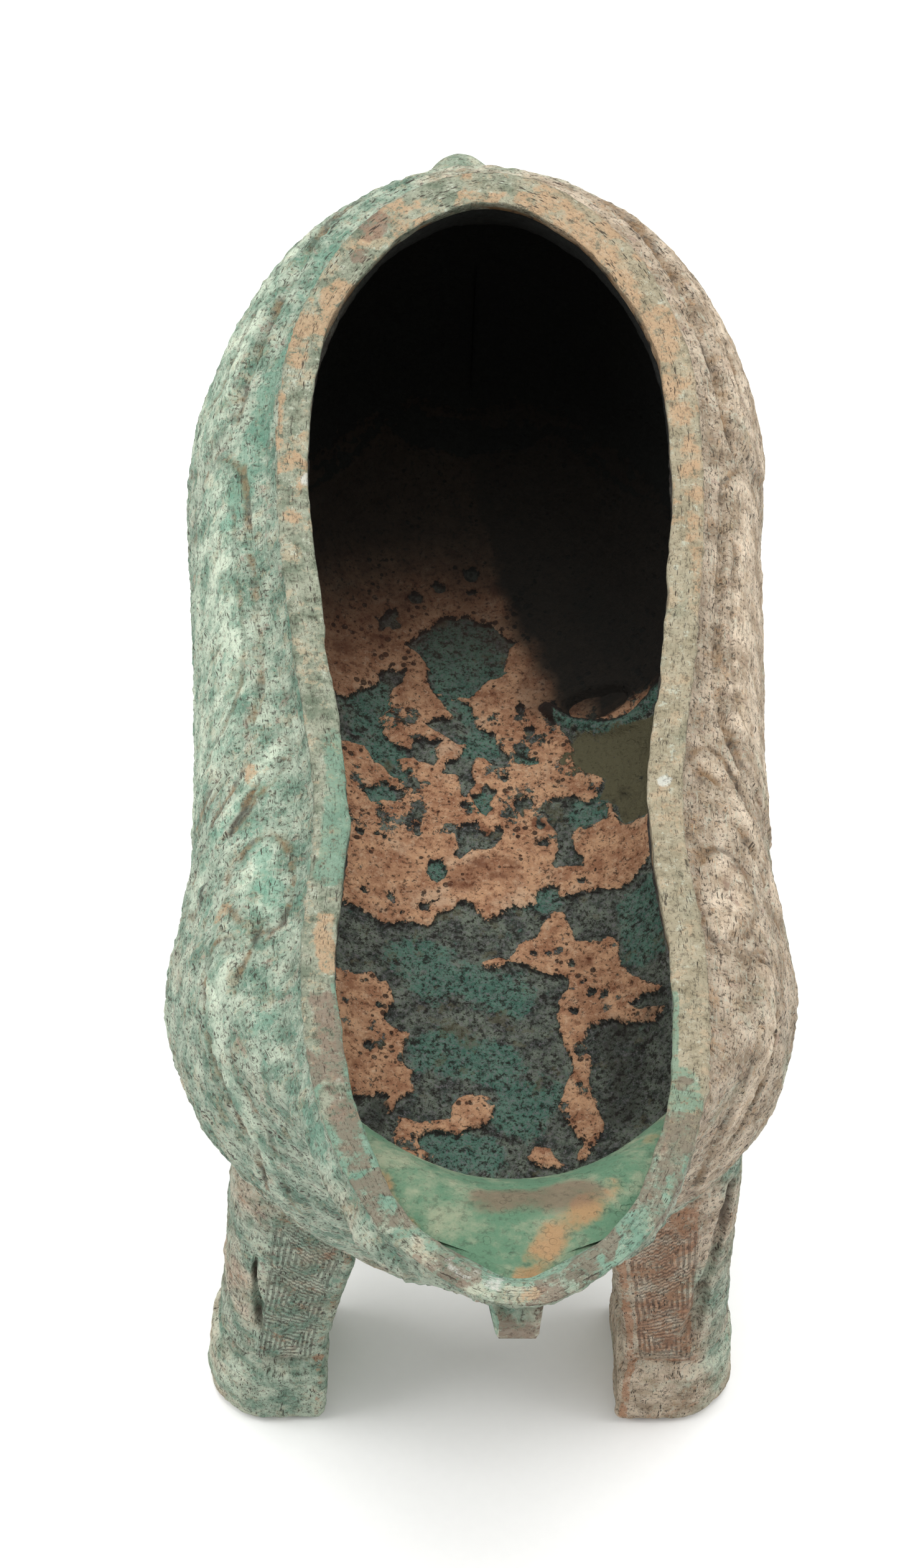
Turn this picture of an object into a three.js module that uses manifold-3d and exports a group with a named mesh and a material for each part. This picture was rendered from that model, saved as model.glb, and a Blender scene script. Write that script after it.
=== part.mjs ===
// Four-legged animal-shaped bronze wine vessel, open at the top, its lid lost.
// A boat-shaped hollow body with a thick flat rim stands on four hoofed legs. The rim narrows at the
// shoulders and runs out in front into a pouring lip, with a flange under its chin. Millimetres, +Z up,
// the lip faces -Y, and the origin is on the ground under the middle of the vessel.
import * as THREE from "three";
import { mergeVertices } from "three/addons/utils/BufferGeometryUtils.js";
import Module from "manifold-3d";

const wasm = await Module();
wasm.setup();

// The body: the lip's tip, the length from it to the rear of the rim, the height of the rim's rear, how
// far the rim dips below it, and the greatest half-widths of the rim and of the girth
const BODY = { front: -160.8, length: 263.3, height: 171, saddle: 21.8, rimHalf: 42.2, girthHalf: 58 };

// The two closed outlines that shape the body, at stations from the lip to the rear: the rim's outer
// edge, and the girth where the body is widest. Places and widths are shares of the body's sizes.
const STATIONS = [
  { rim: { at: 0, half: 0, dip: 0.1147 }, girth: { at: 0.1799, half: 0 } },
  { rim: { at: 0.006, half: 0.154, dip: 0.133 }, girth: { at: 0.1837, half: 0.1724 } },
  { rim: { at: 0.0555, half: 0.4976, dip: 0.2569 }, girth: { at: 0.1989, half: 0.4138 } },
  { rim: { at: 0.1572, half: 0.7583, dip: 0.5321 }, girth: { at: 0.2254, half: 0.6638 } },
  { rim: { at: 0.286, half: 0.8531, dip: 0.8349 }, girth: { at: 0.2936, half: 0.9138 } },
  { rim: { at: 0.4375, half: 0.8057, dip: 1 }, girth: { at: 0.4299, half: 0.9483 } },
  { rim: { at: 0.589, half: 0.9194, dip: 0.9633 }, girth: { at: 0.589, half: 0.9569 } },
  { rim: { at: 0.7405, half: 1, dip: 0.7982 }, girth: { at: 0.7481, half: 0.9914 } },
  { rim: { at: 0.8617, half: 0.9384, dip: 0.5321 }, girth: { at: 0.8996, half: 1 } },
  { rim: { at: 0.9451, half: 0.6754, dip: 0.2385 }, girth: { at: 1.017, half: 0.7672 } },
  { rim: { at: 0.9886, half: 0.3199, dip: 0.0459 }, girth: { at: 1.0928, half: 0.3707 } },
  { rim: { at: 1, half: 0, dip: 0 }, girth: { at: 1.1117, half: 0 } },
];
const GIRTH_Z = { side: 105, rear: 117 };
const RIM_THICKNESS = { lip: 4.8, side: 6.4, rear: 9 };
const WALL = 5.2;

// A section's other points: the plain neck, the shoulder as shares of the way from rim to girth, the
// underside drawn in from the girth, and the belly line
const NECK = { depth: 7, out: { tip: -5, side: 0.4 } };
const SHOULDER = { out: { lip: 0.52, side: 0.66 }, fall: { lip: 0.22, side: 0.3 } };
const LIP_REACH = { from: 0.22, to: 0.02 };
const TIP_REACH = { from: 0.075, to: 0.01 };
const UNDERSIDE = { reach: 0.7, z: 69 };
const FLOOR = { reach: 0.38, z: 59.4 };
const BELLY = { front: -68, rear: 54, z: 58, ease: 0.6 };
const HAUNCH_SIDE = { from: 20, to: 46 };
const FRONT_HAUNCH = { y: -58, z: 98, rise: 5.5, along: 25, up: 34 };
const REAR_HAUNCH = { y: 72, z: 96, rise: 2, along: 34, up: 38 };
const LOFT_AROUND = 60;
const LOFT_DOWN = 18;
const CAVITY_AROUND = 44;
const CAVITY_DOWN = 12;
const CAVITY_RISE = 14;
const RIM_INNER = { flat: 0.02, turned: 0.16, thinned: 0.2 };

// Legs: the sole's four sides, how far the leg leans in towards its top, and how far its outline is
// drawn in at heights above the sole. The hoof band ends at the step between the third and the fourth.
const LEG = { top: 88, lean: 6, innerCorner: 1.5, outerCorner: 12.5 };
const FRONT_LEG = { inner: 30.3, outer: 55, front: -94, back: -66 };
const REAR_LEG = { inner: 28.5, outer: 53.5, front: 40, back: 68 };
const LEG_LEVELS = [
  { z: 0, inset: 1 },
  { z: 2.2, inset: 0 },
  { z: 18.5, inset: 0.4 },
  { z: 20, inset: 1.3 },
  { z: 34, inset: 1.6 },
  { z: 52, inset: 1.1 },
  { z: 68, inset: 0.2 },
  { z: LEG.top, inset: 1.5 },
];
const CORNER_STEPS = 4;
const LEG_WELL = { depth: 15, wall: 6 };

// Flange under the lip and down the breast, and the handle behind
const FLANGE = { width: 7, depth: 7.5, setback: 0.4, start: 0.05, end: 0.66, fade: 0.8, sunk: 3 };
const FLANGE_NOTCH = { count: 4, depth: 3.2 };
const HANDLE = { x: -3, topZ: 122, lowZ: 80, reach: 20.8, wide: 15.5, narrow: 12, thick: 9.5, sunk: 7 };
// The handle's middle line between its roots: back in shares of the reach from the wall at the upper
// root, up in shares of the way from the lower root to the upper
const HANDLE_LINE = [
  { back: 0.22, up: 1.013 },
  { back: 0.8, up: 1.002 },
  { back: 1, up: 0.62 },
  { back: 0.84, up: 0.2 },
];
const HANDLE_FOOT = { back: 6, fall: 3 };
const HANDLE_NARROWING = { from: 0.1, to: 0.55 };
const HANDLE_SQUARENESS = 0.75;
const HANDLE_STEPS = 12;
const HANDLE_SIDES = 8;
const HANDLE_HEAD = { radius: 9.4, across: 0.95, long: 1.15, high: 0.82, along: 0.26 };

// Flat relief on the flanks. Paths run along the rim (0 the lip, 1 the rear) and down (0 rim, 1 belly),
// and half is the half-width at the start, middle and end of a band, in millimetres.
// In order: tail plume, flank plume, hook, shoulder leaf, breast edge, breast plume.
const RELIEF_HEIGHT = 1.5;
const RELIEF_SUNK = 2.6;
const RELIEF_STEPS = 10;
const SCROLL_STEPS = 14;
const BANDS = [
  { half: [7, 10.5, 7], path: [[0.975, 0.36], [0.9, 0.38], [0.82, 0.365], [0.758, 0.375]] },
  { half: [6, 11, 3], path: [[0.7, 0.34], [0.63, 0.35], [0.56, 0.365], [0.5, 0.47]] },
  { half: [1.4, 2.2, 3.2], path: [[0.487, 0.205], [0.494, 0.245], [0.47, 0.31], [0.42, 0.4]] },
  { half: [1, 7, 1], path: [[0.435, 0.25], [0.395, 0.275], [0.355, 0.24]] },
  { half: [1.8, 3, 2], path: [[0.35, 0.33], [0.322, 0.41], [0.25, 0.435], [0.185, 0.51]] },
  { half: [1.2, 2.4, 1.2], path: [[0.31, 0.24], [0.25, 0.25], [0.19, 0.31], [0.13, 0.42]] },
];
// Spiral scrolls on the front and the rear haunch: how far each winds in, and the angle it starts from
const SCROLL_TIGHTENING = 0.78;
const SCROLLS = [
  { y: -62, z: 92, radius: 17, turns: 1.3, half: [3, 1.4], from: 2.4 },
  { y: 64, z: 90, radius: 18, turns: 1.35, half: [3.2, 1.5], from: 0.6 },
];

const SMALL_STEP = 2e-3;
const BRONZE = { color: 0x7d9384, roughness: 0.82, metalness: 0.25 };

const clamp = (value, low, high) => Math.min(high, Math.max(low, value));
const mix = (a, b, share) => a + (b - a) * share;
const smooth = (low, high, value) => {
  const share = clamp((value - low) / (high - low), 0, 1);
  return share * share * (3 - 2 * share);
};

// A closed mesh of vertices and triangles as a solid.
function solidFrom(points, triangles) {
  const geometry = new THREE.BufferGeometry();
  geometry.setAttribute("position", new THREE.Float32BufferAttribute(points.flatMap((p) => p.toArray()), 3));
  geometry.setIndex(triangles);
  return solidOfGeometry(geometry);
}

function solidOfGeometry(geometry) {
  const bare = geometry.index ? geometry.toNonIndexed() : geometry.clone();
  bare.deleteAttribute("normal");
  bare.deleteAttribute("uv");
  const merged = mergeVertices(bare, 1e-4);
  return new wasm.Manifold(
    new wasm.Mesh({
      numProp: 3,
      vertProperties: merged.attributes.position.array,
      triVerts: new Uint32Array(merged.index.array),
    }),
  );
}

// A closed outline from the lip's tip round one side to the rear and back on the other.
function outline(pointOf) {
  const [first, last] = [STATIONS[0], STATIONS[STATIONS.length - 1]];
  const between = STATIONS.slice(1, -1);
  const points = [
    pointOf(first, 1),
    ...between.map((s) => pointOf(s, 1)),
    pointOf(last, 1),
    ...between.map((s) => pointOf(s, -1)).reverse(),
  ];
  const curve = new THREE.CatmullRomCurve3(points, true);
  curve.arcLengthDivisions = 1200;
  return curve;
}

const REAR_Y = BODY.front + BODY.length;
const yOf = (at) => BODY.front + BODY.length * at;
const rimZ = (dip) => BODY.height - BODY.saddle * dip;
const girthZ = (y) => mix(GIRTH_Z.side, GIRTH_Z.rear, smooth(BELLY.rear, REAR_Y, y));
const RIM = outline(
  ({ rim }, side) => new THREE.Vector3(side * BODY.rimHalf * rim.half, yOf(rim.at), rimZ(rim.dip)),
);
const GIRTH = outline(({ girth }, side) => {
  const y = yOf(girth.at);
  return new THREE.Vector3(side * BODY.girthHalf * girth.half, y, girthZ(y));
});

// Where a section stands: its rim and girth points, the level way out of the rim, and the belly point below.
function station(around) {
  const share = RIM.getUtoTmapping(((around % 1) + 1) % 1);
  const rim = RIM.getPoint(share);
  const girth = GIRTH.getPoint(share);
  const run = RIM.getTangent(share).setZ(0).normalize();
  const out = new THREE.Vector3(run.y, -run.x, 0);
  const along = clamp((rim.y - BODY.front) / BODY.length, 0, 1);
  const eased = 0.5 - 0.5 * Math.cos(Math.PI * along);
  const bellyY = mix(BELLY.front, BELLY.rear, mix(along, eased, BELLY.ease));
  const belly = new THREE.Vector3(0, bellyY, BELLY.z);
  return { rim, girth, out, along, belly };
}

// How far the haunches lift the surface outwards at a place.
function haunchRise(point) {
  const rise = (h) => {
    const dy = (point.y - h.y) / h.along;
    const dz = (point.z - h.z) / h.up;
    return h.rise * Math.exp(-2 * (dy * dy + dz * dz));
  };
  const side = smooth(HAUNCH_SIDE.from, HAUNCH_SIDE.to, Math.abs(point.x));
  return (rise(FRONT_HAUNCH) + rise(REAR_HAUNCH)) * side;
}

// A point of the outer surface: around runs 0 to 1 round the rim from the lip, and down 0 at the rim
// to 1 at the belly.
function skin(around, down) {
  const { rim, girth, out, along, belly } = station(around);
  const lip = smooth(LIP_REACH.from, LIP_REACH.to, along);
  const tip = smooth(TIP_REACH.from, TIP_REACH.to, along);
  const neck = rim.clone().addScaledVector(out, mix(NECK.out.side, NECK.out.tip, tip));
  neck.z -= NECK.depth;
  const shoulder = rim.clone().lerp(girth, mix(SHOULDER.out.side, SHOULDER.out.lip, lip));
  shoulder.z = mix(rim.z, girth.z, mix(SHOULDER.fall.side, SHOULDER.fall.lip, lip));
  const underside = belly.clone().lerp(girth, UNDERSIDE.reach).setZ(UNDERSIDE.z);
  const floor = belly.clone().lerp(girth, FLOOR.reach).setZ(FLOOR.z);
  const section = new THREE.CatmullRomCurve3([rim, neck, shoulder, girth, underside, floor, belly]);
  const point = section.getPoint(down);
  return point.addScaledVector(out, haunchRise(point));
}

// The outward normal of the outer surface.
function skinNormal(around, down) {
  const low = clamp(down, SMALL_STEP, 1 - 2 * SMALL_STEP);
  const across = skin(around + SMALL_STEP, low).sub(skin(around - SMALL_STEP, low));
  const downwards = skin(around, low + SMALL_STEP).sub(skin(around, low - SMALL_STEP));
  return downwards.cross(across).normalize();
}

function rimThickness(along) {
  const front = mix(RIM_THICKNESS.side, RIM_THICKNESS.lip, smooth(0.2, 0, along));
  return mix(front, RIM_THICKNESS.rear, smooth(0.85, 1, along));
}

// The outer form, filled up between the rim's edges.
function bodySolid() {
  const rings = [];
  for (let row = 0; row <= LOFT_DOWN; row++) {
    const down = row / LOFT_DOWN;
    const ring = [];
    for (let i = 0; i < LOFT_AROUND; i++) ring.push(skin(i / LOFT_AROUND, down));
    rings.push(ring);
  }
  rings[LOFT_DOWN] = rings[LOFT_DOWN].map((p) => p.setX(0));
  return beltOf(rings);
}

// Rings that end on the middle line: the last ring's two sides meet there, so it needs no cap.
function beltOf(rings) {
  const count = rings[0].length;
  const points = rings.flat();
  const triangles = [];
  const push = (a, b, c) => {
    const [p, q, r] = [points[a], points[b], points[c]];
    const same = p.distanceTo(q) < 1e-3 || q.distanceTo(r) < 1e-3 || r.distanceTo(p) < 1e-3;
    if (!same) triangles.push(a, b, c);
  };
  rings.slice(1).forEach((_, row) => {
    for (let i = 0; i < count; i++) {
      const next = (i + 1) % count;
      const [a, b] = [row * count + i, row * count + next];
      push(a, a + count, b);
      push(b, a + count, b + count);
    }
  });
  for (let i = 0; i < count / 2; i++) {
    const [a, b, c, d] = [i, i + 1, (count - i) % count, count - i - 1];
    push(a, b, c);
    push(b, d, c);
  }
  return solidFrom(points, triangles);
}

// The hollow inside, a wall's thickness within the outer form and open through the rim.
function cavitySolid() {
  const rings = [];
  for (let row = -1; row <= CAVITY_DOWN; row++) {
    const down = Math.max(row, 0) / CAVITY_DOWN;
    const ring = [];
    for (let i = 0; i < CAVITY_AROUND; i++) {
      const around = i / CAVITY_AROUND;
      const { out, along } = station(around);
      const thickness = mix(rimThickness(along), WALL, smooth(0, RIM_INNER.thinned, down));
      const inwards = skinNormal(around, down).multiplyScalar(-1);
      const level = out.clone().multiplyScalar(-1);
      const way = level.lerp(inwards, smooth(RIM_INNER.flat, RIM_INNER.turned, down)).normalize();
      const point = skin(around, down).addScaledVector(way, thickness);
      if (row < 0) point.z += CAVITY_RISE;
      ring.push(point);
    }
    rings.push(ring);
  }
  rings[rings.length - 1].forEach((p) => p.setX(0));
  return beltOf(rings);
}

// A leg's section at a height: flat towards the other leg, round on the outside.
function legOutline(leg, z, inset) {
  const shift = LEG.lean * smooth(0, LEG.top, z);
  const [x0, x1] = [leg.inner - shift + inset, leg.outer - shift - inset];
  const [y0, y1] = [leg.front + inset, leg.back - inset];
  const corner = (x, y, r, from) => {
    const centre = [x === x0 ? x0 + r : x1 - r, y === y0 ? y0 + r : y1 - r];
    return Array.from({ length: CORNER_STEPS + 1 }, (_, i) => {
      const angle = from + (Math.PI * 0.5 * i) / CORNER_STEPS;
      return [centre[0] + r * Math.cos(angle), centre[1] + r * Math.sin(angle)];
    });
  };
  const round = Math.max(LEG.outerCorner - inset, LEG.innerCorner);
  return [
    ...corner(x0, y0, LEG.innerCorner, Math.PI),
    ...corner(x1, y0, round, Math.PI * 1.5),
    ...corner(x1, y1, round, 0),
    ...corner(x0, y1, LEG.innerCorner, Math.PI * 0.5),
  ];
}

// That outline as a ring of points, on the right (side 1) or the left (side -1).
const legRing = (leg, side, z, inset) =>
  legOutline(leg, z, inset).map(([x, y]) => new THREE.Vector3(x * side, y, z));

// Hoof, ankle, shank and the top that goes up into the haunch.
function legSolid(leg, side) {
  return prismOf(LEG_LEVELS.map(({ z, inset }) => legRing(leg, side, z, inset)), side < 0);
}

// Rings stacked upwards, each capped by a fan.
function prismOf(rings, mirrored) {
  const count = rings[0].length;
  const points = rings.flat();
  const triangles = [];
  const push = (a, b, c) => triangles.push(...(mirrored ? [a, c, b] : [a, b, c]));
  rings.slice(1).forEach((_, row) => {
    for (let i = 0; i < count; i++) {
      const next = (i + 1) % count;
      const [a, b] = [row * count + i, row * count + next];
      push(a, b, a + count);
      push(b, b + count, a + count);
    }
  });
  const last = (rings.length - 1) * count;
  for (let i = 1; i < count - 1; i++) {
    push(0, i + 1, i);
    push(last, last + i, last + i + 1);
  }
  return solidFrom(points, triangles);
}

// The hollow that runs from the floor of the vessel down into the root of a leg.
function legWell(leg, side) {
  const bottom = BELLY.z - LEG_WELL.depth;
  const levels = [bottom, BELLY.z + WALL, LEG.top - WALL];
  return prismOf(levels.map((z) => legRing(leg, side, z, LEG_WELL.wall)), side < 0);
}

// The flange that stands out from the middle line under the lip, cut by shallow notches.
function flangeSolid() {
  const outer = [];
  const inner = [];
  const steps = FLANGE_NOTCH.count * 6;
  for (let i = 0; i <= steps; i++) {
    const down = mix(FLANGE.start, FLANGE.end, i / steps);
    const point = skin(0, down);
    const normal = skinNormal(0, down);
    const notched = i % 6 >= 4 ? FLANGE_NOTCH.depth : 0;
    const fade = smooth(1, FLANGE.fade, i / steps);
    const edge = point.clone().addScaledVector(normal, (FLANGE.depth - notched) * fade);
    edge.y = Math.max(edge.y, BODY.front + FLANGE.setback);
    outer.push(edge);
    inner.push(point.clone().addScaledVector(normal, -FLANGE.sunk));
  }
  const shape = new THREE.Shape([...outer, ...inner.reverse()].map((p) => new THREE.Vector2(p.y, p.z)));
  const geometry = new THREE.ExtrudeGeometry(shape, { depth: FLANGE.width, bevelEnabled: false });
  geometry.translate(0, 0, -FLANGE.width / 2);
  geometry.applyMatrix4(new THREE.Matrix4().set(0, 0, 1, 0, 1, 0, 0, 0, 0, 1, 0, 0, 0, 0, 0, 1));
  return solidOfGeometry(geometry);
}

// The strap handle: a loop behind the body, with a rounded beast's head on its shoulder.
function handleSolid() {
  const across = new THREE.Vector3(1, 0, 0);
  const at = (y, z) => new THREE.Vector3(HANDLE.x, y, z);
  const [upper, lower] = [rearSurfaceY(HANDLE.topZ), rearSurfaceY(HANDLE.lowZ)];
  const path = new THREE.CatmullRomCurve3([
    at(upper - HANDLE.sunk, HANDLE.topZ - 2),
    ...HANDLE_LINE.map(({ back, up }) => at(upper + HANDLE.reach * back, mix(HANDLE.lowZ, HANDLE.topZ, up))),
    at(lower + HANDLE_FOOT.back, HANDLE.lowZ - HANDLE_FOOT.fall),
    at(lower - HANDLE.sunk, HANDLE.lowZ + 1),
  ]);
  const squared = (v) => Math.sign(v) * Math.abs(v) ** HANDLE_SQUARENESS;
  const rings = [];
  for (let i = 0; i <= HANDLE_STEPS; i++) {
    const share = i / HANDLE_STEPS;
    const centre = path.getPointAt(share);
    const outward = new THREE.Vector3().crossVectors(across, path.getTangentAt(share)).normalize();
    const narrowing = smooth(HANDLE_NARROWING.from, HANDLE_NARROWING.to, share);
    const half = mix(HANDLE.wide, HANDLE.narrow, narrowing) / 2;
    const ring = [];
    for (let k = 0; k < HANDLE_SIDES; k++) {
      const angle = (2 * Math.PI * k) / HANDLE_SIDES;
      const point = centre.clone().addScaledVector(across, half * squared(Math.cos(angle)));
      ring.push(point.addScaledVector(outward, (HANDLE.thick / 2) * squared(Math.sin(angle))));
    }
    rings.push(ring);
  }
  const head = new THREE.SphereGeometry(HANDLE_HEAD.radius, 12, 6);
  head.scale(HANDLE_HEAD.across, HANDLE_HEAD.long, HANDLE_HEAD.high);
  const seat = path.getPointAt(HANDLE_HEAD.along);
  head.translate(seat.x, seat.y, seat.z);
  return prismOf(rings, true).add(solidOfGeometry(head));
}

// How far back the rear wall reaches at a height.
function rearSurfaceY(z) {
  let best = skin(0.5, 0);
  for (let i = 1; i <= 60; i++) {
    const point = skin(0.5, i / 60);
    if (Math.abs(point.z - z) < Math.abs(best.z - z)) best = point;
  }
  return best.y;
}

// The change of place on the outer surface, around and down, that moves one millimetre along a tangent.
function placeStep({ around, down }, tangent) {
  const here = skin(around, down);
  const alongRim = skin(around + SMALL_STEP, down).sub(here).divideScalar(SMALL_STEP);
  const downwards = skin(around, down + SMALL_STEP).sub(here).divideScalar(SMALL_STEP);
  const [aa, ad, dd] = [alongRim.dot(alongRim), alongRim.dot(downwards), downwards.dot(downwards)];
  const [ta, td] = [tangent.dot(alongRim), tangent.dot(downwards)];
  const det = aa * dd - ad * ad;
  return { around: (ta * dd - td * ad) / det, down: (td * aa - ta * ad) / det };
}

// A raised band that lies on the outer surface along places, with a half-width at each of them.
function bandSolid(places, halves) {
  const rings = places.map((place, i) => {
    const before = places[Math.max(i - 1, 0)];
    const after = places[Math.min(i + 1, places.length - 1)];
    const forward = skin(after.around, after.down).sub(skin(before.around, before.down));
    const across = skinNormal(place.around, place.down).cross(forward).normalize();
    const step = placeStep(place, across);
    const edge = (share, height) => {
      const around = place.around + step.around * share * halves[i];
      const down = clamp(place.down + step.down * share * halves[i], 0.02, 0.97);
      return skin(around, down).addScaledVector(skinNormal(around, down), height);
    };
    const below = [-1, 0, 1].map((share) => edge(share, -RELIEF_SUNK));
    const above = [1, 0, -1].map((share) => edge(share, RELIEF_HEIGHT));
    return [...below, ...above];
  });
  return prismOf(rings, false);
}

// A band that follows a path of places with swelling width, and ends in blunt points.
function plumeBand({ half, path }, side) {
  const curve = new THREE.SplineCurve(path.map(([along, down]) => new THREE.Vector2(along * 0.5, down)));
  const places = [];
  const halves = [];
  for (let i = 0; i <= RELIEF_STEPS; i++) {
    const share = 0.5 - 0.5 * Math.cos((Math.PI * i) / RELIEF_STEPS);
    const p = curve.getPoint(share);
    places.push({ around: side * p.x, down: p.y });
    const width = share < 0.5 ? mix(half[0], half[1], share * 2) : mix(half[1], half[2], share * 2 - 1);
    halves.push(width * Math.sqrt(Math.sin(Math.PI * mix(0.03, 0.97, share))));
  }
  return bandSolid(places, halves);
}

// The place on the outer surface that lies at a distance along and up the flank.
function flankPlace(y, z) {
  let [around, down] = [0.25, 0.45];
  for (let i = 0; i < 40; i++) {
    const point = skin(around, down);
    around = clamp(around + (y - point.y) * 0.0013, 0.01, 0.49);
    down = clamp(down - (z - point.z) * 0.006, 0.02, 0.95);
  }
  return { around, down };
}

// A band that winds in on a haunch.
function scrollBand({ y, z, radius, turns, half, from }, side) {
  const shares = Array.from({ length: SCROLL_STEPS + 1 }, (_, i) => i / SCROLL_STEPS);
  const places = shares.map((share) => {
    const angle = from - share * turns * 2 * Math.PI;
    const r = radius * (1 - SCROLL_TIGHTENING * share);
    const { around, down } = flankPlace(y + r * Math.cos(angle), z + r * Math.sin(angle));
    return { around: side * around, down };
  });
  const halves = shares.map((share) => mix(half[0], half[1], share));
  return bandSolid(places, halves);
}

function makeVessel() {
  let solid = bodySolid().add(flangeSolid()).add(handleSolid());
  for (const side of [1, -1]) {
    for (const leg of [FRONT_LEG, REAR_LEG]) solid = solid.add(legSolid(leg, side));
    for (const band of BANDS) solid = solid.add(plumeBand(band, side));
    for (const scroll of SCROLLS) solid = solid.add(scrollBand(scroll, side));
  }
  solid = solid.subtract(cavitySolid());
  for (const side of [1, -1]) {
    for (const leg of [FRONT_LEG, REAR_LEG]) solid = solid.subtract(legWell(leg, side));
  }
  return solid;
}

function meshOf(solid, name, finish) {
  const { vertProperties, triVerts } = solid.getMesh();
  const geometry = new THREE.BufferGeometry();
  geometry.setAttribute("position", new THREE.BufferAttribute(vertProperties, 3));
  geometry.setIndex(new THREE.BufferAttribute(triVerts, 1));
  geometry.computeVertexNormals();
  const mesh = new THREE.Mesh(geometry, new THREE.MeshStandardMaterial(finish));
  mesh.name = name;
  return mesh;
}

const zunVessel = new THREE.Group();
zunVessel.add(meshOf(makeVessel(), "vessel", BRONZE));

export default zunVessel;
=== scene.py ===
"""Finishes a four-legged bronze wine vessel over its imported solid.

The cast shell, the corroded lining inside it, the four legs, the flange and the handle are made in
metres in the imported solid's frame, from sizes in millimetres.
"""

import logging
import math
from collections.abc import Callable
from dataclasses import dataclass
from enum import Enum, IntEnum
from functools import reduce

import bmesh
import bpy
import numpy as np
from mathutils import Matrix, Vector


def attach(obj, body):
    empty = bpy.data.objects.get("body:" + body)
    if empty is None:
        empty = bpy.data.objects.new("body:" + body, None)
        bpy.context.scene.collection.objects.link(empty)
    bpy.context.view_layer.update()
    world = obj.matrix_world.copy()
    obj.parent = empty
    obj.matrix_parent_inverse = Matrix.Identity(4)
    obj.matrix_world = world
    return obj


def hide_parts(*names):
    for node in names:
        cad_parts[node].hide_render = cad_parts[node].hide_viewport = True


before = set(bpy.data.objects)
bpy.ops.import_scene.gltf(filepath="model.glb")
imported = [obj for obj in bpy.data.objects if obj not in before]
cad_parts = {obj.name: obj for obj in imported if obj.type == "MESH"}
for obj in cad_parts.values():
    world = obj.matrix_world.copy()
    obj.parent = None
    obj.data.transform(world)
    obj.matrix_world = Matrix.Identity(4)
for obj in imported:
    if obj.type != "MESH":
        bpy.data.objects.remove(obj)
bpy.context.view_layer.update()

LOG = logging.getLogger("vessel")
MM = 0.001
Array = np.ndarray
Path = tuple[tuple[float, float], ...]
Colour = tuple[float, float, float, float]
Socket = bpy.types.NodeSocket
Sockets = bpy.types.NodeOutputs
Layer = tuple[Socket, float, float, float, object]


class Side(Enum):
    """The two sides of the vessel, as seen from its lip."""

    RIGHT = 1
    LEFT = -1


class Seed(IntEnum):
    """The starts of the noises, one for each use."""

    SHELL_ROUGH = 11
    SHELL_FINE = 12
    SHELL_SWELL = 13
    RIM_WEAR = 14
    DIRT = 15
    STAIN_CLOUD = 16
    PEACH = 17
    BRONZE = 18
    LINING = 21
    LINING_FINE = 22
    CRUST_ACROSS = 31
    CRUST_ALONG = 32
    CRUST_WALL = 33
    CRUST_HOLES = 34
    LEG_WEAR = 41
    LEG_FINE = 42
    LEG_WANDER = 43
    LEG_FURROW = 44
    HANDLE = 51
    HEAD = 52


def smooth(low: float, high: float, value: Array) -> Array:
    """A soft step.

    Args:
        low: Where the step starts, at 0.
        high: Where it ends, at 1.
        value: The values to judge.

    Returns:
        The step's height for each value.
    """
    share = np.clip((value - low) / (high - low), 0.0, 1.0)
    return share * share * (3.0 - 2.0 * share)


def between(low: float, start: float, end: float, high: float, value: Array) -> Array:
    """Rises from low to start, stays up, and falls from end to high."""
    return smooth(low, start, value) * smooth(high, end, value)


def blend(start: Array, end: Array, share: Array) -> Array:
    """Moves from one value to another by a share."""
    return start + (end - start) * share


def unit(vectors: Array) -> Array:
    """Scales each vector to length 1."""
    return vectors / np.maximum(np.linalg.norm(vectors, axis=-1, keepdims=True), 1e-12)


def spline_span(before: Array, start: Array, end: Array, after: Array, weight: Array) -> Array:
    """Points on centripetal spline spans, one for each row of controls.

    Args:
        before: Controls before each span.
        start: Controls where the spans start.
        end: Controls where they end.
        after: Controls after each span.
        weight: How far along its span each point lies.

    Returns:
        The points.
    """

    def reach(a: Array, b: Array) -> Array:
        """The root of the distance between controls."""
        return np.sqrt(np.maximum(np.linalg.norm(b - a, axis=-1), 1e-9))[..., None]

    d0, d1, d2 = reach(before, start), reach(start, end), reach(end, after)
    leave = ((start - before) / d0 - (end - before) / (d0 + d1) + (end - start) / d1) * d1
    enter = ((end - start) / d1 - (after - start) / (d1 + d2) + (after - end) / d2) * d1
    w = weight[..., None]
    bend = 3.0 * (end - start) - 2.0 * leave - enter
    twist = 2.0 * (start - end) + leave + enter
    return start + leave * w + bend * w**2 + twist * w**3


class ClosedCurve:
    """A closed smooth curve through controls."""

    def __init__(self, points: list[tuple[float, ...]]) -> None:
        """Keeps the controls."""
        self.points = np.array(points, float)

    def at(self, share: Array) -> Array:
        """Points of the curve at shares of the way round."""
        count = len(self.points)
        place = np.mod(share, 1.0) * count
        span = np.floor(place).astype(int)
        picks = [self.points[(span + step) % count] for step in (-1, 0, 1, 2)]
        return spline_span(*picks, place - span)


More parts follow.
